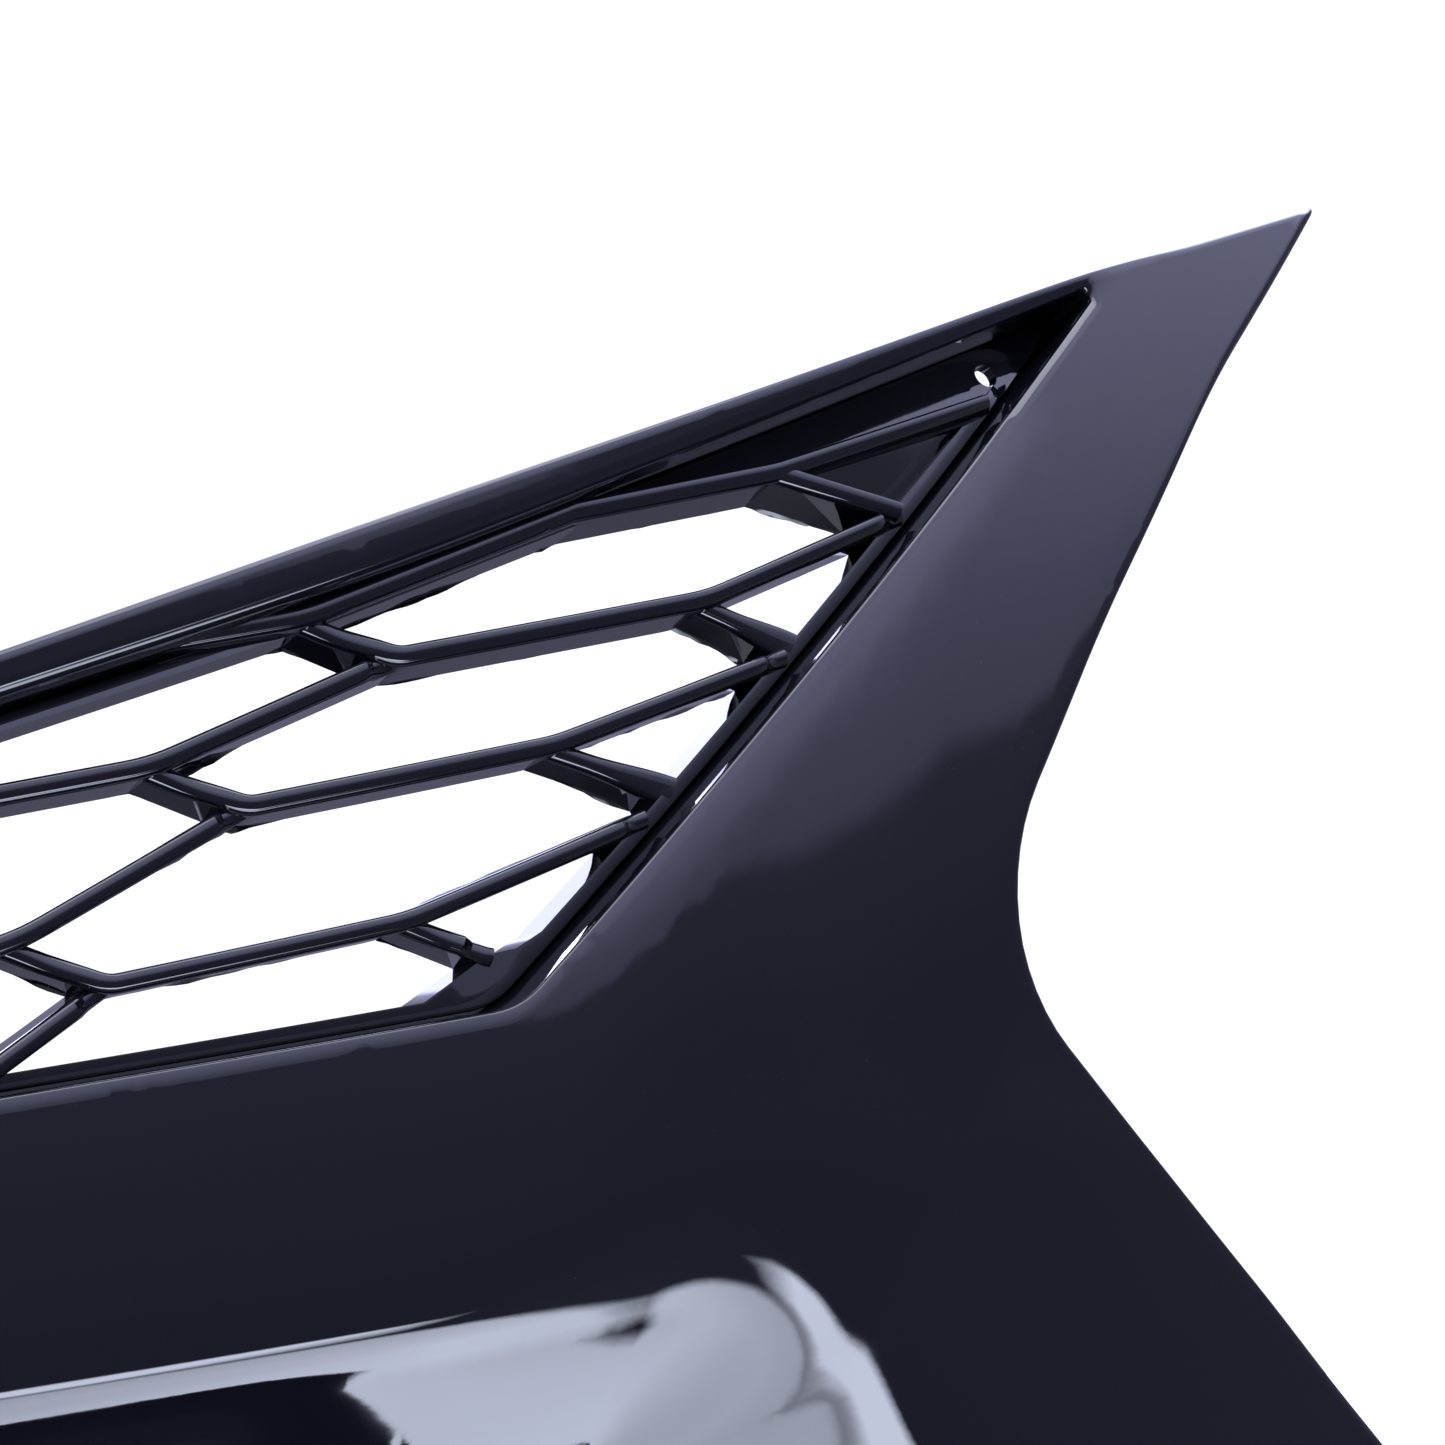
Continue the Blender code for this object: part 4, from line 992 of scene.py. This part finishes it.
def badge():
    """The badge carrier with its studs, and the plain domed blank that covers it."""
    outline = rounded(mirrored(BADGE), 4, 9)
    studs = [circle(x, z, STUD_RADIUS, 20) for x, z in STUDS]
    rows = [r for inset in (0.25, 0.8, 1.5) for r in edge_rows(outline, inset, False, [outline])]
    grid = scattered_grid([outline] + studs, 9, 3)
    corners, faces = triangulated([outline] + studs, rows, grid)
    middle = corners[faces].mean(axis=1)
    in_stud = np.any([inside(middle, s) for s in studs], axis=0)
    here = inside(middle, outline)
    kinds = [("stud" if stud else "plate") if kept else None for kept, stud in zip(here, in_stud)]
    missing = np.clip(1.5 - distance(corners, outline), 0, 1.5)
    depths = {
        "front": 2.0 + 1.5 - np.sqrt(2.25 - missing**2),
        "rear": np.full(len(corners), BLANK_FRONT - GAP),
        "tip": np.full(len(corners), BLANK_FRONT + 10.0),
    }
    levels = {"plate": ("front", "rear"), "stud": ("front", "tip")}
    carrier = layered_solid(corners, faces, kinds, levels, depths, SATIN, "badge_backing")
    stands_for(carrier, "satin_black", "badge_carrier")

    outline = rounded(moved_corners(mirrored(BADGE), 3), 3, 7)
    insets = (0.15, 0.6, 1.4, 2.6, 4.4, 6.8, 9.5, 12)
    rows = [r for inset in insets for r in edge_rows(outline, inset, False, [outline])]
    corners, faces = triangulated([outline], rows, scattered_grid([outline], 5, 12.5))
    kinds = ["plate" if here else None for here in inside(corners[faces].mean(axis=1), outline)]

    def dome(points):
        raised = np.clip(distance(points, outline) / 12, 0, 1)
        return 0.5 - 3.0 * np.sqrt(np.maximum(raised * (2 - raised), 0))

    near, away = nearest(corners, outline)
    front = dome(corners)
    raised = np.clip(near / 12, 1e-3, 1)
    slope = 3.0 / 12 * (1 - raised) / np.sqrt(raised * (2 - raised))
    normal, tangents = sheet_normals(corners, lambda p: np.full(len(p), -2.5))
    normal = leaned(normal, tangents, -away, slope / np.sqrt(1 + slope**2))
    depths = {"front": front, "rear": np.full(len(corners), 2.0 - GAP)}
    levels = {"plate": ("front", "rear")}
    cover = layered_solid(corners, faces, kinds, levels, depths, GLOSS, "badge_cover", ("front", normal))
    stands_for(cover, "gloss_black", "badge_blank")


# ---------------------------------------------------------------- fasteners


def screw_mesh(length, name):
    """Pan-head screw along Y: crossed recess, flange and a cut thread."""
    head, height, sides = 4.0, 2.4, 40
    rings = []
    pitch, turns_per_ring = 1.25, 6
    count = int((length - 1.5) / pitch * turns_per_ring)
    rings.append([(0.02, -length, 0)] * sides)
    for k in range(count + 1):
        y = -length + 1.5 + (length - 1.5) * k / count
        ring = []
        for angle in turns_round(sides):
            phase = (y / pitch + angle / (2 * math.pi)) % 1
            crest = max(0.0, 1 - abs(phase - 0.5) / 0.28)
            radius = SCREW_RADIUS + 0.5 * crest * min(1.0, k / 6, (count - k) / 6 + 0.2)
            ring.append((radius * math.cos(angle), y, radius * math.sin(angle)))
        rings.append(ring)
    rim = [(0.1, 0.02), (0, 0.2), (0, 0.75), (0.25, 1.3), (0.8, 1.85), (1.5, 2.2)]
    for radius, y in [(1.9, 0.0)] + [(head - less, y) for less, y in rim]:
        rings.append([(radius * math.cos(a), y, radius * math.sin(a)) for a in turns_round(sides)])
    for radius in (2.3, 2.1, 1.9, 1.7, 1.5, 1.3, 1.1, 0.9, 0.7, 0.5, 0.3, 0.02):
        ring = []
        for angle in turns_round(sides):
            u, v = radius * math.cos(angle), radius * math.sin(angle)
            slot_width = 0.42 if radius > 0.8 else 0.42 + 0.25 * (0.8 - radius)
            cut = min(abs(u), abs(v)) < slot_width and radius < 2.2
            deep = 1.5 * (1 - (radius / 2.4) ** 2) + 0.3
            ring.append((u, height - 0.05 * radius**2 / 4 - (deep if cut else 0), v))
        rings.append(ring)
    vertices = [v for ring in rings for v in ring]
    made = add_object(name, vertices, ring_faces(len(rings), sides, flipped=True), ZINC, sharp=38)
    mesh = made.data
    bpy.data.objects.remove(made)
    return mesh


def place_screw(mesh, node, place):
    made = bpy.data.objects.new(node + "_detail", mesh)
    bpy.context.scene.collection.objects.link(made)
    made.matrix_world = place @ Matrix.Rotation(hash_angle(node), 4, "Y")
    stands_for(made, "zinc_steel", node)


def hash_angle(name):
    """A fixed turn for each screw, so that their recesses don't line up."""
    return sum((k + 1) * ord(c) for k, c in enumerate(name)) % 97 * 0.0648


def bevelled(made, width=0.2, segments=2):
    bevel = made.modifiers.new("edges", "BEVEL")
    bevel.width = width * MM
    bevel.segments = segments
    bevel.limit_method = "ANGLE"
    bevel.angle_limit = math.radians(40)
    bevel.harden_normals = False
    return made


def bent_sheet(name, outline, holes, thickness, fold, finish, place):
    """Object from a flat blank with holes, folded by fold(s) -> (y, z, normal y, normal z)."""
    corners, faces = triangulated([outline] + holes, [], scattered_sheet(outline, holes))
    middle = corners[faces].mean(axis=1)
    kept = inside(middle, outline) & ~np.any([inside(middle, h) for h in holes], axis=0)
    faces = faces[kept]
    folded = np.array([fold(s) for s in corners[:, 1]])
    half = thickness / 2
    top, low = (
        np.column_stack([corners[:, 0], folded[:, :2] + offset * folded[:, 2:]]) for offset in (half, -half)
    )
    count = len(corners)
    polygons, owner = [], set()
    for face in faces.tolist():
        polygons.append(face)
        polygons.append([v + count for v in reversed(face)])
        owner |= {(a, b) for a, b in zip(face, face[1:] + face[:1])}
    for a, b in owner:
        if (b, a) not in owner:
            polygons.append([a, a + count, b + count, b])
    made = add_object(name, *compacted(np.concatenate([top, low]), polygons), finish, place)
    return bevelled(made, 0.22)


def scattered_sheet(outline, holes):
    """Points for a folded blank, close together along it so that its bend is smooth."""
    low, high = outline.min(axis=0), outline.max(axis=0)
    x, s = np.meshgrid(np.arange(low[0] + 2, high[0] - 1, 6.0), np.arange(low[1] + 0.8, high[1] - 0.5, 0.8))
    points = np.stack([x.ravel(), s.ravel()], axis=1)
    near = np.min([distance(points, loop) for loop in [outline] + holes], axis=0)
    return points[near > 0.5]


def bracket(side, frame_matrix, screw_frames):
    """Bent steel angle with rounded corners and pressed holes."""
    t, drop, bend = BRACKET_THICKNESS, BRACKET_HEIGHT / 2, 2.5
    foot, arc = BRACKET_HEIGHT - bend, (bend - t / 2) * math.pi / 2
    shelf = BRACKET_REACH - bend
    total = foot + arc + shelf

    def fold(s):
        if s < foot:
            return (t / 2, -drop + s, -1.0, 0.0)
        if s < foot + arc:
            angle = (s - foot) / (bend - t / 2)
            ny, nz = -math.cos(angle), math.sin(angle)
            return (bend + (bend - t / 2) * ny, drop - bend + (bend - t / 2) * nz, ny, nz)
        return (bend + s - foot - arc, drop - t / 2, 0.0, 1.0)

    half = BRACKET_WIDTH / 2
    corners = [(-half, 0, 2.0), (-half, total, 4.0), (half, total, 4.0), (half, 0, 2.0)]
    outline = rounded(corners, 4, 15)
    holes = [circle(0, foot + arc + BRACKET_REACH - NUT_INSET - bend, 3.6, 28)]
    for screw_frame in screw_frames:
        centre = (frame_matrix.inverted() @ screw_frame).translation / MM
        holes.append(circle(centre.x, centre.z + drop, SCREW_HOLE_RADIUS, 20))
    made = bent_sheet(side + "_bracket_detail", outline, holes, t, fold, PAINT, frame_matrix)
    stands_for(made, "black_paint", side + "_bracket")


def swept(profile, width, name, finish, place):
    """Solid from a (y, z) outline swept along X."""
    vertices = [(side * width / 2, y, z) for side in (1, -1) for y, z in profile]
    polygons = ring_faces(2, len(profile), flipped=True)
    return bevelled(add_object(name, vertices, polygons, finish, place, sharp=25), 0.15)


def u_nut(side, frame_matrix):
    """Folded steel nut with an open bore and a threaded collar."""
    t, shelf = 1.0, BRACKET_THICKNESS
    top = BRACKET_HEIGHT / 2 + GAP + t / 2
    bottom = BRACKET_HEIGHT / 2 - shelf - GAP - t / 2
    end = BRACKET_REACH + GAP + t
    start = BRACKET_REACH - 19
    radius = (top - bottom) / 2
    run = end - t / 2 - radius - start
    arc = math.pi * radius

    def fold(s):
        if s < run:
            return (start + s, top, 0.0, 1.0)
        if s < run + arc:
            angle = (s - run) / radius
            ny, nz = math.sin(angle), math.cos(angle)
            return (end - t / 2 - radius + radius * ny, (top + bottom) / 2 + radius * nz, ny, nz)
        back = s - run - arc
        lift = -0.9 * max(0.0, back - (run - 2.5)) / 2.5
        return (end - t / 2 - radius - back, bottom + lift, 0.0, -1.0)

    half = 7.5
    total = 2 * run + arc
    outline = rounded([(-half, 0, 1.5), (-half, total, 2.0), (half, total, 2.0), (half, 0, 1.5)], 4, 18)
    bore = BRACKET_REACH - NUT_INSET - start
    holes = [circle(0, bore, 2.9, 24), circle(0, 2 * run + arc - bore, 2.9, 24)]
    made = bent_sheet(side + "_u_nut_detail", outline, holes, t, fold, ZINC, frame_matrix)
    stands_for(made, "zinc_steel", side + "_u_nut")
    vertices, sides = [], 28
    profile = [(4.1, 0.0), (4.1, -1.4), (3.8, -1.9), (3.2, -1.9)]
    profile += [(2.9 + (0.28 if k % 2 else 0), -1.8 + 0.35 * k) for k in range(6)]
    for radius, z in profile:
        for angle in turns_round(sides):
            at_y = BRACKET_REACH - NUT_INSET + radius * math.sin(angle)
            vertices.append((radius * math.cos(angle), at_y, bottom - t / 2 + 0.1 + z))
    polygons = ring_faces(len(profile), sides, wraps=True)
    rides_along(add_object(side + "_u_nut_collar", vertices, polygons, ZINC, frame_matrix))


def spring_clip(k, x, z):
    """Steel clip pushed over a blade tab, with a barb on each side."""
    t = 0.8
    inner = TAB_SIZE[1] / 2 + GAP
    end = TAB_LENGTH + GAP
    hook = [(t, 0), (-0.6, 1.1), (-3, 3), (-3.7, 2.95), (-4.2, 2.6), (-3.2, 1.6)]
    barb = [(end + y, inner + t + b) for y, b in hook] + [(4, inner + t), (1, inner + t)]
    right = [(1.0, inner), (end, inner)]
    profile = right + [(y, -b) for y, b in reversed(right)]
    profile += [(y, -b) for y, b in reversed(barb)] + barb
    made = swept(profile, TAB_SIZE[0] - 3, f"spring_clip_{k}_detail", ZINC, skin_frame(x, z, REAR))
    stands_for(made, "zinc_steel", f"spring_clip_{k}")


def push_nut(side, x, z):
    """Dished spring-steel washer whose teeth grip a stud."""
    vertices, sides, teeth = [], 48, 6
    profile = [(None, 1.9), (3.6, 1.6), (4.4, 0.5), (6.3, 0.35), (6.5, 0.55)]
    profile += [(6.5, 0.95), (6.2, 1.15), (4.7, 1.3), (3.9, 2.4), (None, 2.7)]
    for radius, y in profile:
        for k, angle in enumerate(turns_round(sides)):
            notch = 0.75 if (k * teeth / sides) % 1 < 0.3 else 0.0
            r = STUD_RADIUS + 0.12 + notch if radius is None else radius
            vertices.append((r * math.cos(angle), y - 0.35, r * math.sin(angle)))
    polygons = ring_faces(len(profile), sides, flipped=True, wraps=True)
    place = skin_frame(x, z, BLANK_FRONT + BLANK + GAP)
    made = add_object(f"badge_nut_{side}_detail", vertices, polygons, ZINC, place, sharp=40)
    stands_for(made, "zinc_steel", "badge_nut_" + side)


def foam_seal(name, side):
    """Foam strip behind an arm, a little uneven on its free face."""
    outer = rounded(mirrored(OUTER), 4, 7)
    rows = [edge_rows(outer, inset, False, [outer])[0] for inset in (1.0, 7.0)]
    strips = []
    for row in rows:
        keep = (row[:, 0] > 0) & (row[:, 1] > 72) & (row[:, 1] < 212)
        strips.append(row[keep])
    loop = np.concatenate([strips[0], strips[1][::-1]]) * (side, 1)
    inset_rows = [r for k in (0.3, 0.9, 1.8) for r in edge_rows(loop, k, side < 0, [loop])]
    corners, faces = triangulated([loop], inset_rows, [])
    kinds = ["foam" if here else None for here in inside(corners[faces].mean(axis=1), loop)]
    near = np.clip(1.6 - distance(corners, loop), 0, 1.6)
    x, z = corners.T
    wave = 0.25 * np.sin(z * 0.9) * np.sin(x * 0.53) + 0.15 * np.sin(z * 2.7)
    far = REAR + GAP + 8 - 0.5 - (1.6 - np.sqrt(np.maximum(2.56 - near**2, 0))) + wave
    depths = {"near": np.full(len(corners), REAR + GAP), "far": np.minimum(far, REAR + GAP + 8)}
    made = layered_solid(corners, faces, kinds, {"foam": ("near", "far")}, depths, FOAM, name + "_detail")
    stands_for(made, "black_foam", name)


# ---------------------------------------------------------------- materials


class Nodes:
    """Short calls for making the nodes of one tree."""

    def __init__(self, tree):
        self.tree = tree

    def node(self, kind, **settings):
        made = self.tree.nodes.new(kind)
        for key, value in settings.items():
            if key in made.inputs:
                made.inputs[key].default_value = value
            else:
                setattr(made, key, value)
        return made

    def link(self, source, target):
        self.tree.links.new(source, target)

    def noise(self, scale, detail=2.0, stretch=None):
        """Noise over the object, with scale in waves per metre."""
        made = self.node("ShaderNodeTexNoise", Scale=scale, Detail=detail)
        source = self.place
        if stretch is not None:
            mapping = self.node("ShaderNodeMapping", Scale=stretch)
            self.link(source, mapping.inputs["Vector"])
            source = mapping.outputs["Vector"]
        self.link(source, made.inputs["Vector"])
        return made.outputs["Fac"]

    def ramp(self, source, stops):
        made = self.node("ShaderNodeValToRGB")
        band = made.color_ramp
        while len(band.elements) < len(stops):
            band.elements.new(0.5)
        for element, (at, colour) in zip(band.elements, stops):
            element.position = at
            element.color = (*colour, 1) if len(colour) == 3 else colour
        self.link(source, made.inputs["Fac"])
        return made.outputs["Color"]

    def span(self, source, low, high, to_low, to_high):
        made = self.node("ShaderNodeMapRange")
        for key, value in (("From Min", low), ("From Max", high), ("To Min", to_low), ("To Max", to_high)):
            made.inputs[key].default_value = value
        self.link(source, made.inputs["Value"])
        return made.outputs["Result"]

    def math(self, operation, a, b):
        made = self.node("ShaderNodeMath", operation=operation)
        for k, value in enumerate((a, b)):
            if isinstance(value, (int, float)):
                made.inputs[k].default_value = value
            else:
                self.link(value, made.inputs[k])
        return made.outputs["Value"]

    def bump(self, height, strength, reach, before=None):
        made = self.node("ShaderNodeBump", Strength=strength, Distance=reach)
        self.link(height, made.inputs["Height"])
        if before is not None:
            self.link(before, made.inputs["Normal"])
        return made.outputs["Normal"]


class Finish(Nodes):
    """A Principled material whose patterns follow the object."""

    def __init__(self, name, colour, roughness, metallic=0.0):
        self.material = bpy.data.materials.new(name)
        self.material.use_nodes = True
        super().__init__(self.material.node_tree)
        self.shader = self.tree.nodes["Principled BSDF"]
        self.shader.inputs["Base Color"].default_value = (*colour, 1)
        self.shader.inputs["Roughness"].default_value = roughness
        self.shader.inputs["Metallic"].default_value = metallic
        self.material.diffuse_color = (*colour, 1)
        self.place = self.node("ShaderNodeTexCoord").outputs["Object"]

    def colours(self, source, stops):
        self.link(self.ramp(source, stops), self.shader.inputs["Base Color"])

    def roughness(self, pattern, low, high):
        self.link(self.span(pattern, 0.3, 0.7, low, high), self.shader.inputs["Roughness"])

    def surface(self, normal):
        self.link(normal, self.shader.inputs["Normal"])


def gloss_finish():
    """Piano-black moulded plastic: faint ripple, fine orange peel, a little dust and polish haze."""
    black = (0.0035, 0.0035, 0.0055)
    made = Finish("gloss_black", black, 0.03)
    made.shader.inputs["IOR"].default_value = 1.52
    dust = made.span(made.noise(2600.0, 0.0), 0.85, 0.89, 0.0, 1.0)
    patches = made.span(made.noise(9.0, 3.0), 0.45, 0.7, 0.0, 1.0)
    specks = made.math("MULTIPLY", dust, patches)
    made.colours(specks, [(0.0, black), (1.0, (0.05, 0.05, 0.055))])
    haze = made.span(made.noise(38.0, 4.0), 0.35, 0.75, 0.025, 0.075)
    made.link(made.math("ADD", haze, made.math("MULTIPLY", specks, 0.3)), made.shader.inputs["Roughness"])
    ripple = made.bump(made.noise(22.0, 1.0), 0.22, 0.0009)
    made.surface(made.bump(made.noise(420.0, 2.0), 0.05, 0.00008, ripple))
    return made.material


def satin_finish():
    """Moulded satin plastic with an etched grain."""
    made = Finish("satin_black", (0.018, 0.018, 0.02), 0.42)
    made.colours(made.noise(60.0, 5.0), [(0.3, (0.014, 0.014, 0.016)), (0.75, (0.026, 0.026, 0.028))])
    made.roughness(made.noise(140.0, 3.0), 0.36, 0.52)
    made.surface(made.bump(made.noise(1700.0, 4.0), 0.4, 0.00012))
    return made.material


def zinc_finish():
    """Zinc-plated steel: pale, slightly mottled, with fine drawing lines."""
    made = Finish("zinc_steel", (0.6, 0.6, 0.58), 0.3, 1.0)
    tones = [(0.3, (0.50, 0.51, 0.50)), (0.5, (0.64, 0.64, 0.62)), (0.72, (0.72, 0.69, 0.60))]
    made.colours(made.noise(180.0, 5.0), tones)
    made.roughness(made.noise(420.0, 4.0), 0.22, 0.44)
    made.surface(made.bump(made.noise(900.0, 2.0, (1, 0.08, 1)), 0.25, 0.00005))
    return made.material


def paint_finish():
    """Black e-coat on steel sheet: soft sheen, fine orange peel, rubbed bare on its sharpest edges."""
    made = Finish("black_paint", (0.02, 0.02, 0.022), 0.38)
    edge = made.span(made.node("ShaderNodeNewGeometry").outputs["Pointiness"], 0.56, 0.64, 0.0, 1.0)
    worn = made.math("MULTIPLY", edge, made.span(made.noise(220.0, 4.0), 0.5, 0.6, 0.0, 1.0))
    made.colours(worn, [(0.0, (0.02, 0.02, 0.022)), (1.0, (0.32, 0.32, 0.31))])
    made.link(made.math("MULTIPLY", worn, 0.9), made.shader.inputs["Metallic"])
    made.roughness(made.noise(90.0, 4.0), 0.32, 0.48)
    made.surface(made.bump(made.noise(800.0, 3.0), 0.3, 0.0001))
    return made.material


def foam_finish():
    """Closed-cell foam: open cells on the cut faces, with painted shade darkening their hollows."""
    made = Finish("black_foam", (0.022, 0.022, 0.023), 0.95)
    cells = made.node("ShaderNodeTexVoronoi", Scale=900.0, feature="DISTANCE_TO_EDGE")
    made.link(made.place, cells.inputs["Vector"])
    height = made.span(cells.outputs["Distance"], 0.0, 0.35, 1.0, 0.0)
    # Painted shade: the colour is darkest in each cell's middle, where the bump sinks the face, and lighter
    # on the cell walls.
    made.colours(height, [(0.0, (0.010, 0.010, 0.011)), (1.0, (0.045, 0.045, 0.048))])
    made.surface(made.bump(height, 0.9, 0.0004))
    made.roughness(made.noise(300.0, 3.0), 0.85, 1.0)
    return made.material


# ---------------------------------------------------------------- stage

CAMERA_DISTANCE = 0.6568
COOL = (0.93, 1.0, 1.236)
VIOLET = (0.94, 0.97, 1.48)
DIM = (0.965, 0.96, 1.45)
SKY = [
    (-1.0, 6.2, COOL),
    (-0.90, 7.4, COOL),
    (-0.815, 7.0, COOL),
    (-0.785, 0.17, DIM),
    (-0.27, 0.16, DIM),
    (-0.2, 0.19, DIM),
    (-0.1, 0.24, DIM),
    (-0.012, 0.29, DIM),
    (0.012, 0.76, VIOLET),
    (0.1, 0.92, VIOLET),
    (0.2, 1.3, VIOLET),
    (0.35, 1.8, VIOLET),
    (0.6, 2.2, VIOLET),
    (1.0, 1.8, VIOLET),
]


def surroundings():
    """Studio round the object: bright below, dim at eye level, a violet-grey sky and a white backdrop."""
    world = bpy.data.worlds.new("studio")
    bpy.context.scene.world = world
    world.use_nodes = True
    made = Nodes(world.node_tree)
    made.tree.nodes.clear()
    split = made.node("ShaderNodeSeparateXYZ")
    made.link(made.node("ShaderNodeTexCoord").outputs["Generated"], split.inputs["Vector"])
    edge = made.span(split.outputs["X"], 0.675, 0.80, 0.12, 0.27)
    edge = made.math("MULTIPLY", edge, made.span(split.outputs["Z"], -0.2, 0.0, 0, 1))
    height = made.span(made.math("SUBTRACT", split.outputs["Z"], edge), -1, 1, 0, 1)
    brightest = 7.5
    stops = []
    for z, level, tint in SKY:
        stops.append(((z + 1) / 2, [level / brightest * c for c in tint]))
    colour = made.ramp(height, stops)
    low = made.span(split.outputs["Z"], -0.5, -0.7, 0, -0.97)
    dark = made.math("MULTIPLY", made.span(split.outputs["Y"], 0.10, 0.28, 0, 1), low)
    high = made.span(split.outputs["Z"], 0.05, 0.15, 0, 1.8)
    bright = made.math("MULTIPLY", made.span(split.outputs["Y"], 0.3, 0.5, 0, 1), high)
    share = made.math("ADD", made.math("ADD", dark, bright), 1.0)
    around = made.node("ShaderNodeBackground")
    made.link(colour, around.inputs["Color"])
    made.link(made.math("MULTIPLY", share, brightest), around.inputs["Strength"])
    # A bright strip in front, low down, for the streak in the lower lip.
    near_below = made.math(
        "MULTIPLY",
        made.span(split.outputs["Z"], -0.80, -0.76, 0, 1),
        made.span(split.outputs["Z"], -0.66, -0.69, 0, 1),
    )
    near_below = made.math("MULTIPLY", near_below, made.span(split.outputs["Y"], -0.45, -0.58, 0, 12.0))
    strip = made.node("ShaderNodeBackground", Color=(*COOL, 1))
    made.link(near_below, strip.inputs["Strength"])
    both = made.node("ShaderNodeAddShader")
    made.link(around.outputs["Background"], both.inputs[0])
    made.link(strip.outputs["Background"], both.inputs[1])
    backdrop = made.node("ShaderNodeBackground", Color=(1, 1, 1, 1), Strength=1.1)
    mix = made.node("ShaderNodeMixShader")
    made.link(made.node("ShaderNodeLightPath").outputs["Is Camera Ray"], mix.inputs["Fac"])
    made.link(both.outputs["Shader"], mix.inputs[1])
    made.link(backdrop.outputs["Background"], mix.inputs[2])
    made.link(mix.outputs["Shader"], made.node("ShaderNodeOutputWorld").inputs["Surface"])


def stage():
    """Pale floor, soft lights, the plain surroundings and the camera."""
    mesh = bpy.data.meshes.new("floor")
    side, front, back = 1.6, -1.6, 0.5
    ground = [(-side, front, 0), (side, front, 0), (side, back, 0), (-side, back, 0)]
    mesh.from_pydata(ground, [], [[0, 1, 2, 3]])
    floor = bpy.data.objects.new("floor", mesh)
    bpy.context.scene.collection.objects.link(floor)
    floor.location.z = -0.0004
    paper = Finish("pale_paper", (0.6, 0.6, 0.61), 0.85)
    paper.colours(paper.noise(3.0, 3.0), [(0.3, (0.58, 0.58, 0.59)), (0.7, (0.62, 0.62, 0.625))])
    mesh.materials.append(paper.material)
    floor.visible_glossy = False

    softbox("softbox_top", (0.2, -0.3, 2.3), 2.2, 1.2, 26)
    softbox("softbox_rear", (-0.6, 2.2, 1.5), 1.6, 0.9, 22)
    surroundings()
    bpy.context.scene.view_settings.view_transform = "Standard"
    camera()


def softbox(name, at, width, depth, power):
    """An area light that faces the object's middle."""
    light = bpy.data.lights.new(name, "AREA")
    light.shape = "RECTANGLE"
    light.size, light.size_y = width, depth
    light.energy = power
    made = bpy.data.objects.new(name, light)
    made.location = at
    made.rotation_euler = (Vector((0.0, 0.0, 0.2)) - Vector(at)).to_track_quat("-Z", "Y").to_euler()
    bpy.context.scene.collection.objects.link(made)


def camera():
    """A long lens at the photo's angle, aimed at the upper right corner and rolled a little."""
    azimuth, elevation, roll = math.radians(-20), math.radians(3), math.radians(4)
    target = Vector((215, 37.33 - MIDDLE_DEPTH, 285)) * MM
    level = math.cos(elevation)
    back = Vector((math.sin(azimuth) * level, -math.cos(azimuth) * level, math.sin(elevation)))
    right = Vector((0, 0, 1)).cross(back).normalized()
    up = back.cross(right)
    turned_right = math.cos(roll) * right - math.sin(roll) * up
    turned_up = math.sin(roll) * right + math.cos(roll) * up
    data = bpy.data.cameras.new("camera")
    data.lens = 90
    data.sensor_width = 36
    data.clip_start = 0.01
    made = bpy.data.objects.new("camera", data)
    bpy.context.scene.collection.objects.link(made)
    turn = Matrix((turned_right, turned_up, back)).transposed().to_4x4()
    made.matrix_world = Matrix.Translation(target + back * CAMERA_DISTANCE) @ turn
    bpy.context.scene.camera = made


# ---------------------------------------------------------------- the assembly

GLOSS = gloss_finish()
SATIN = satin_finish()
ZINC = zinc_finish()
PAINT = paint_finish()
FOAM = foam_finish()

stands_for(surround(), "gloss_black", "surround_shell")
upper_mesh()
lower_mesh()
badge()
for side, (x, z) in zip(("right", "left"), STUDS):
    push_nut(side, x, z)

flange_rear = REAR + GAP + FLANGE
long_screw = screw_mesh(13, "long_screw")
short_screw = screw_mesh(10, "short_screw")
bracket_screw = screw_mesh(12, "bracket_screw")
for k, place in enumerate(upper_screw_places()):
    place_screw(long_screw, f"upper_mesh_screw_{k + 1}", skin_frame(*place, flange_rear + GAP))
for k, place in enumerate(lower_screw_places()):
    head = REAR_LOWER + GAP + FLANGE + GAP
    place_screw(short_screw, f"lower_mesh_screw_{k + 1}", skin_frame(*place, head))
for side, (x, z, tilt) in BRACKETS.items():
    seat = (flange_rear if side == "centre" else REAR) + BRACKET_GAP
    place = skin_frame(x, z, seat, tilt)
    screw_frames = [skin_frame(*p, seat + BRACKET_THICKNESS + GAP) for p in bracket_screw_places(side)]
    bracket(side, place, screw_frames)
    u_nut(side, place)
    for letter, screw_frame in zip("ab", screw_frames):
        place_screw(bracket_screw, f"{side}_bracket_screw_{letter}", screw_frame)
for k, (x, z) in enumerate(TAB_PLACES):
    spring_clip(k + 1, x, z)
foam_seal("foam_seal_right", 1)
foam_seal("foam_seal_left", -1)
stage()

bpy.context.view_layer.update()
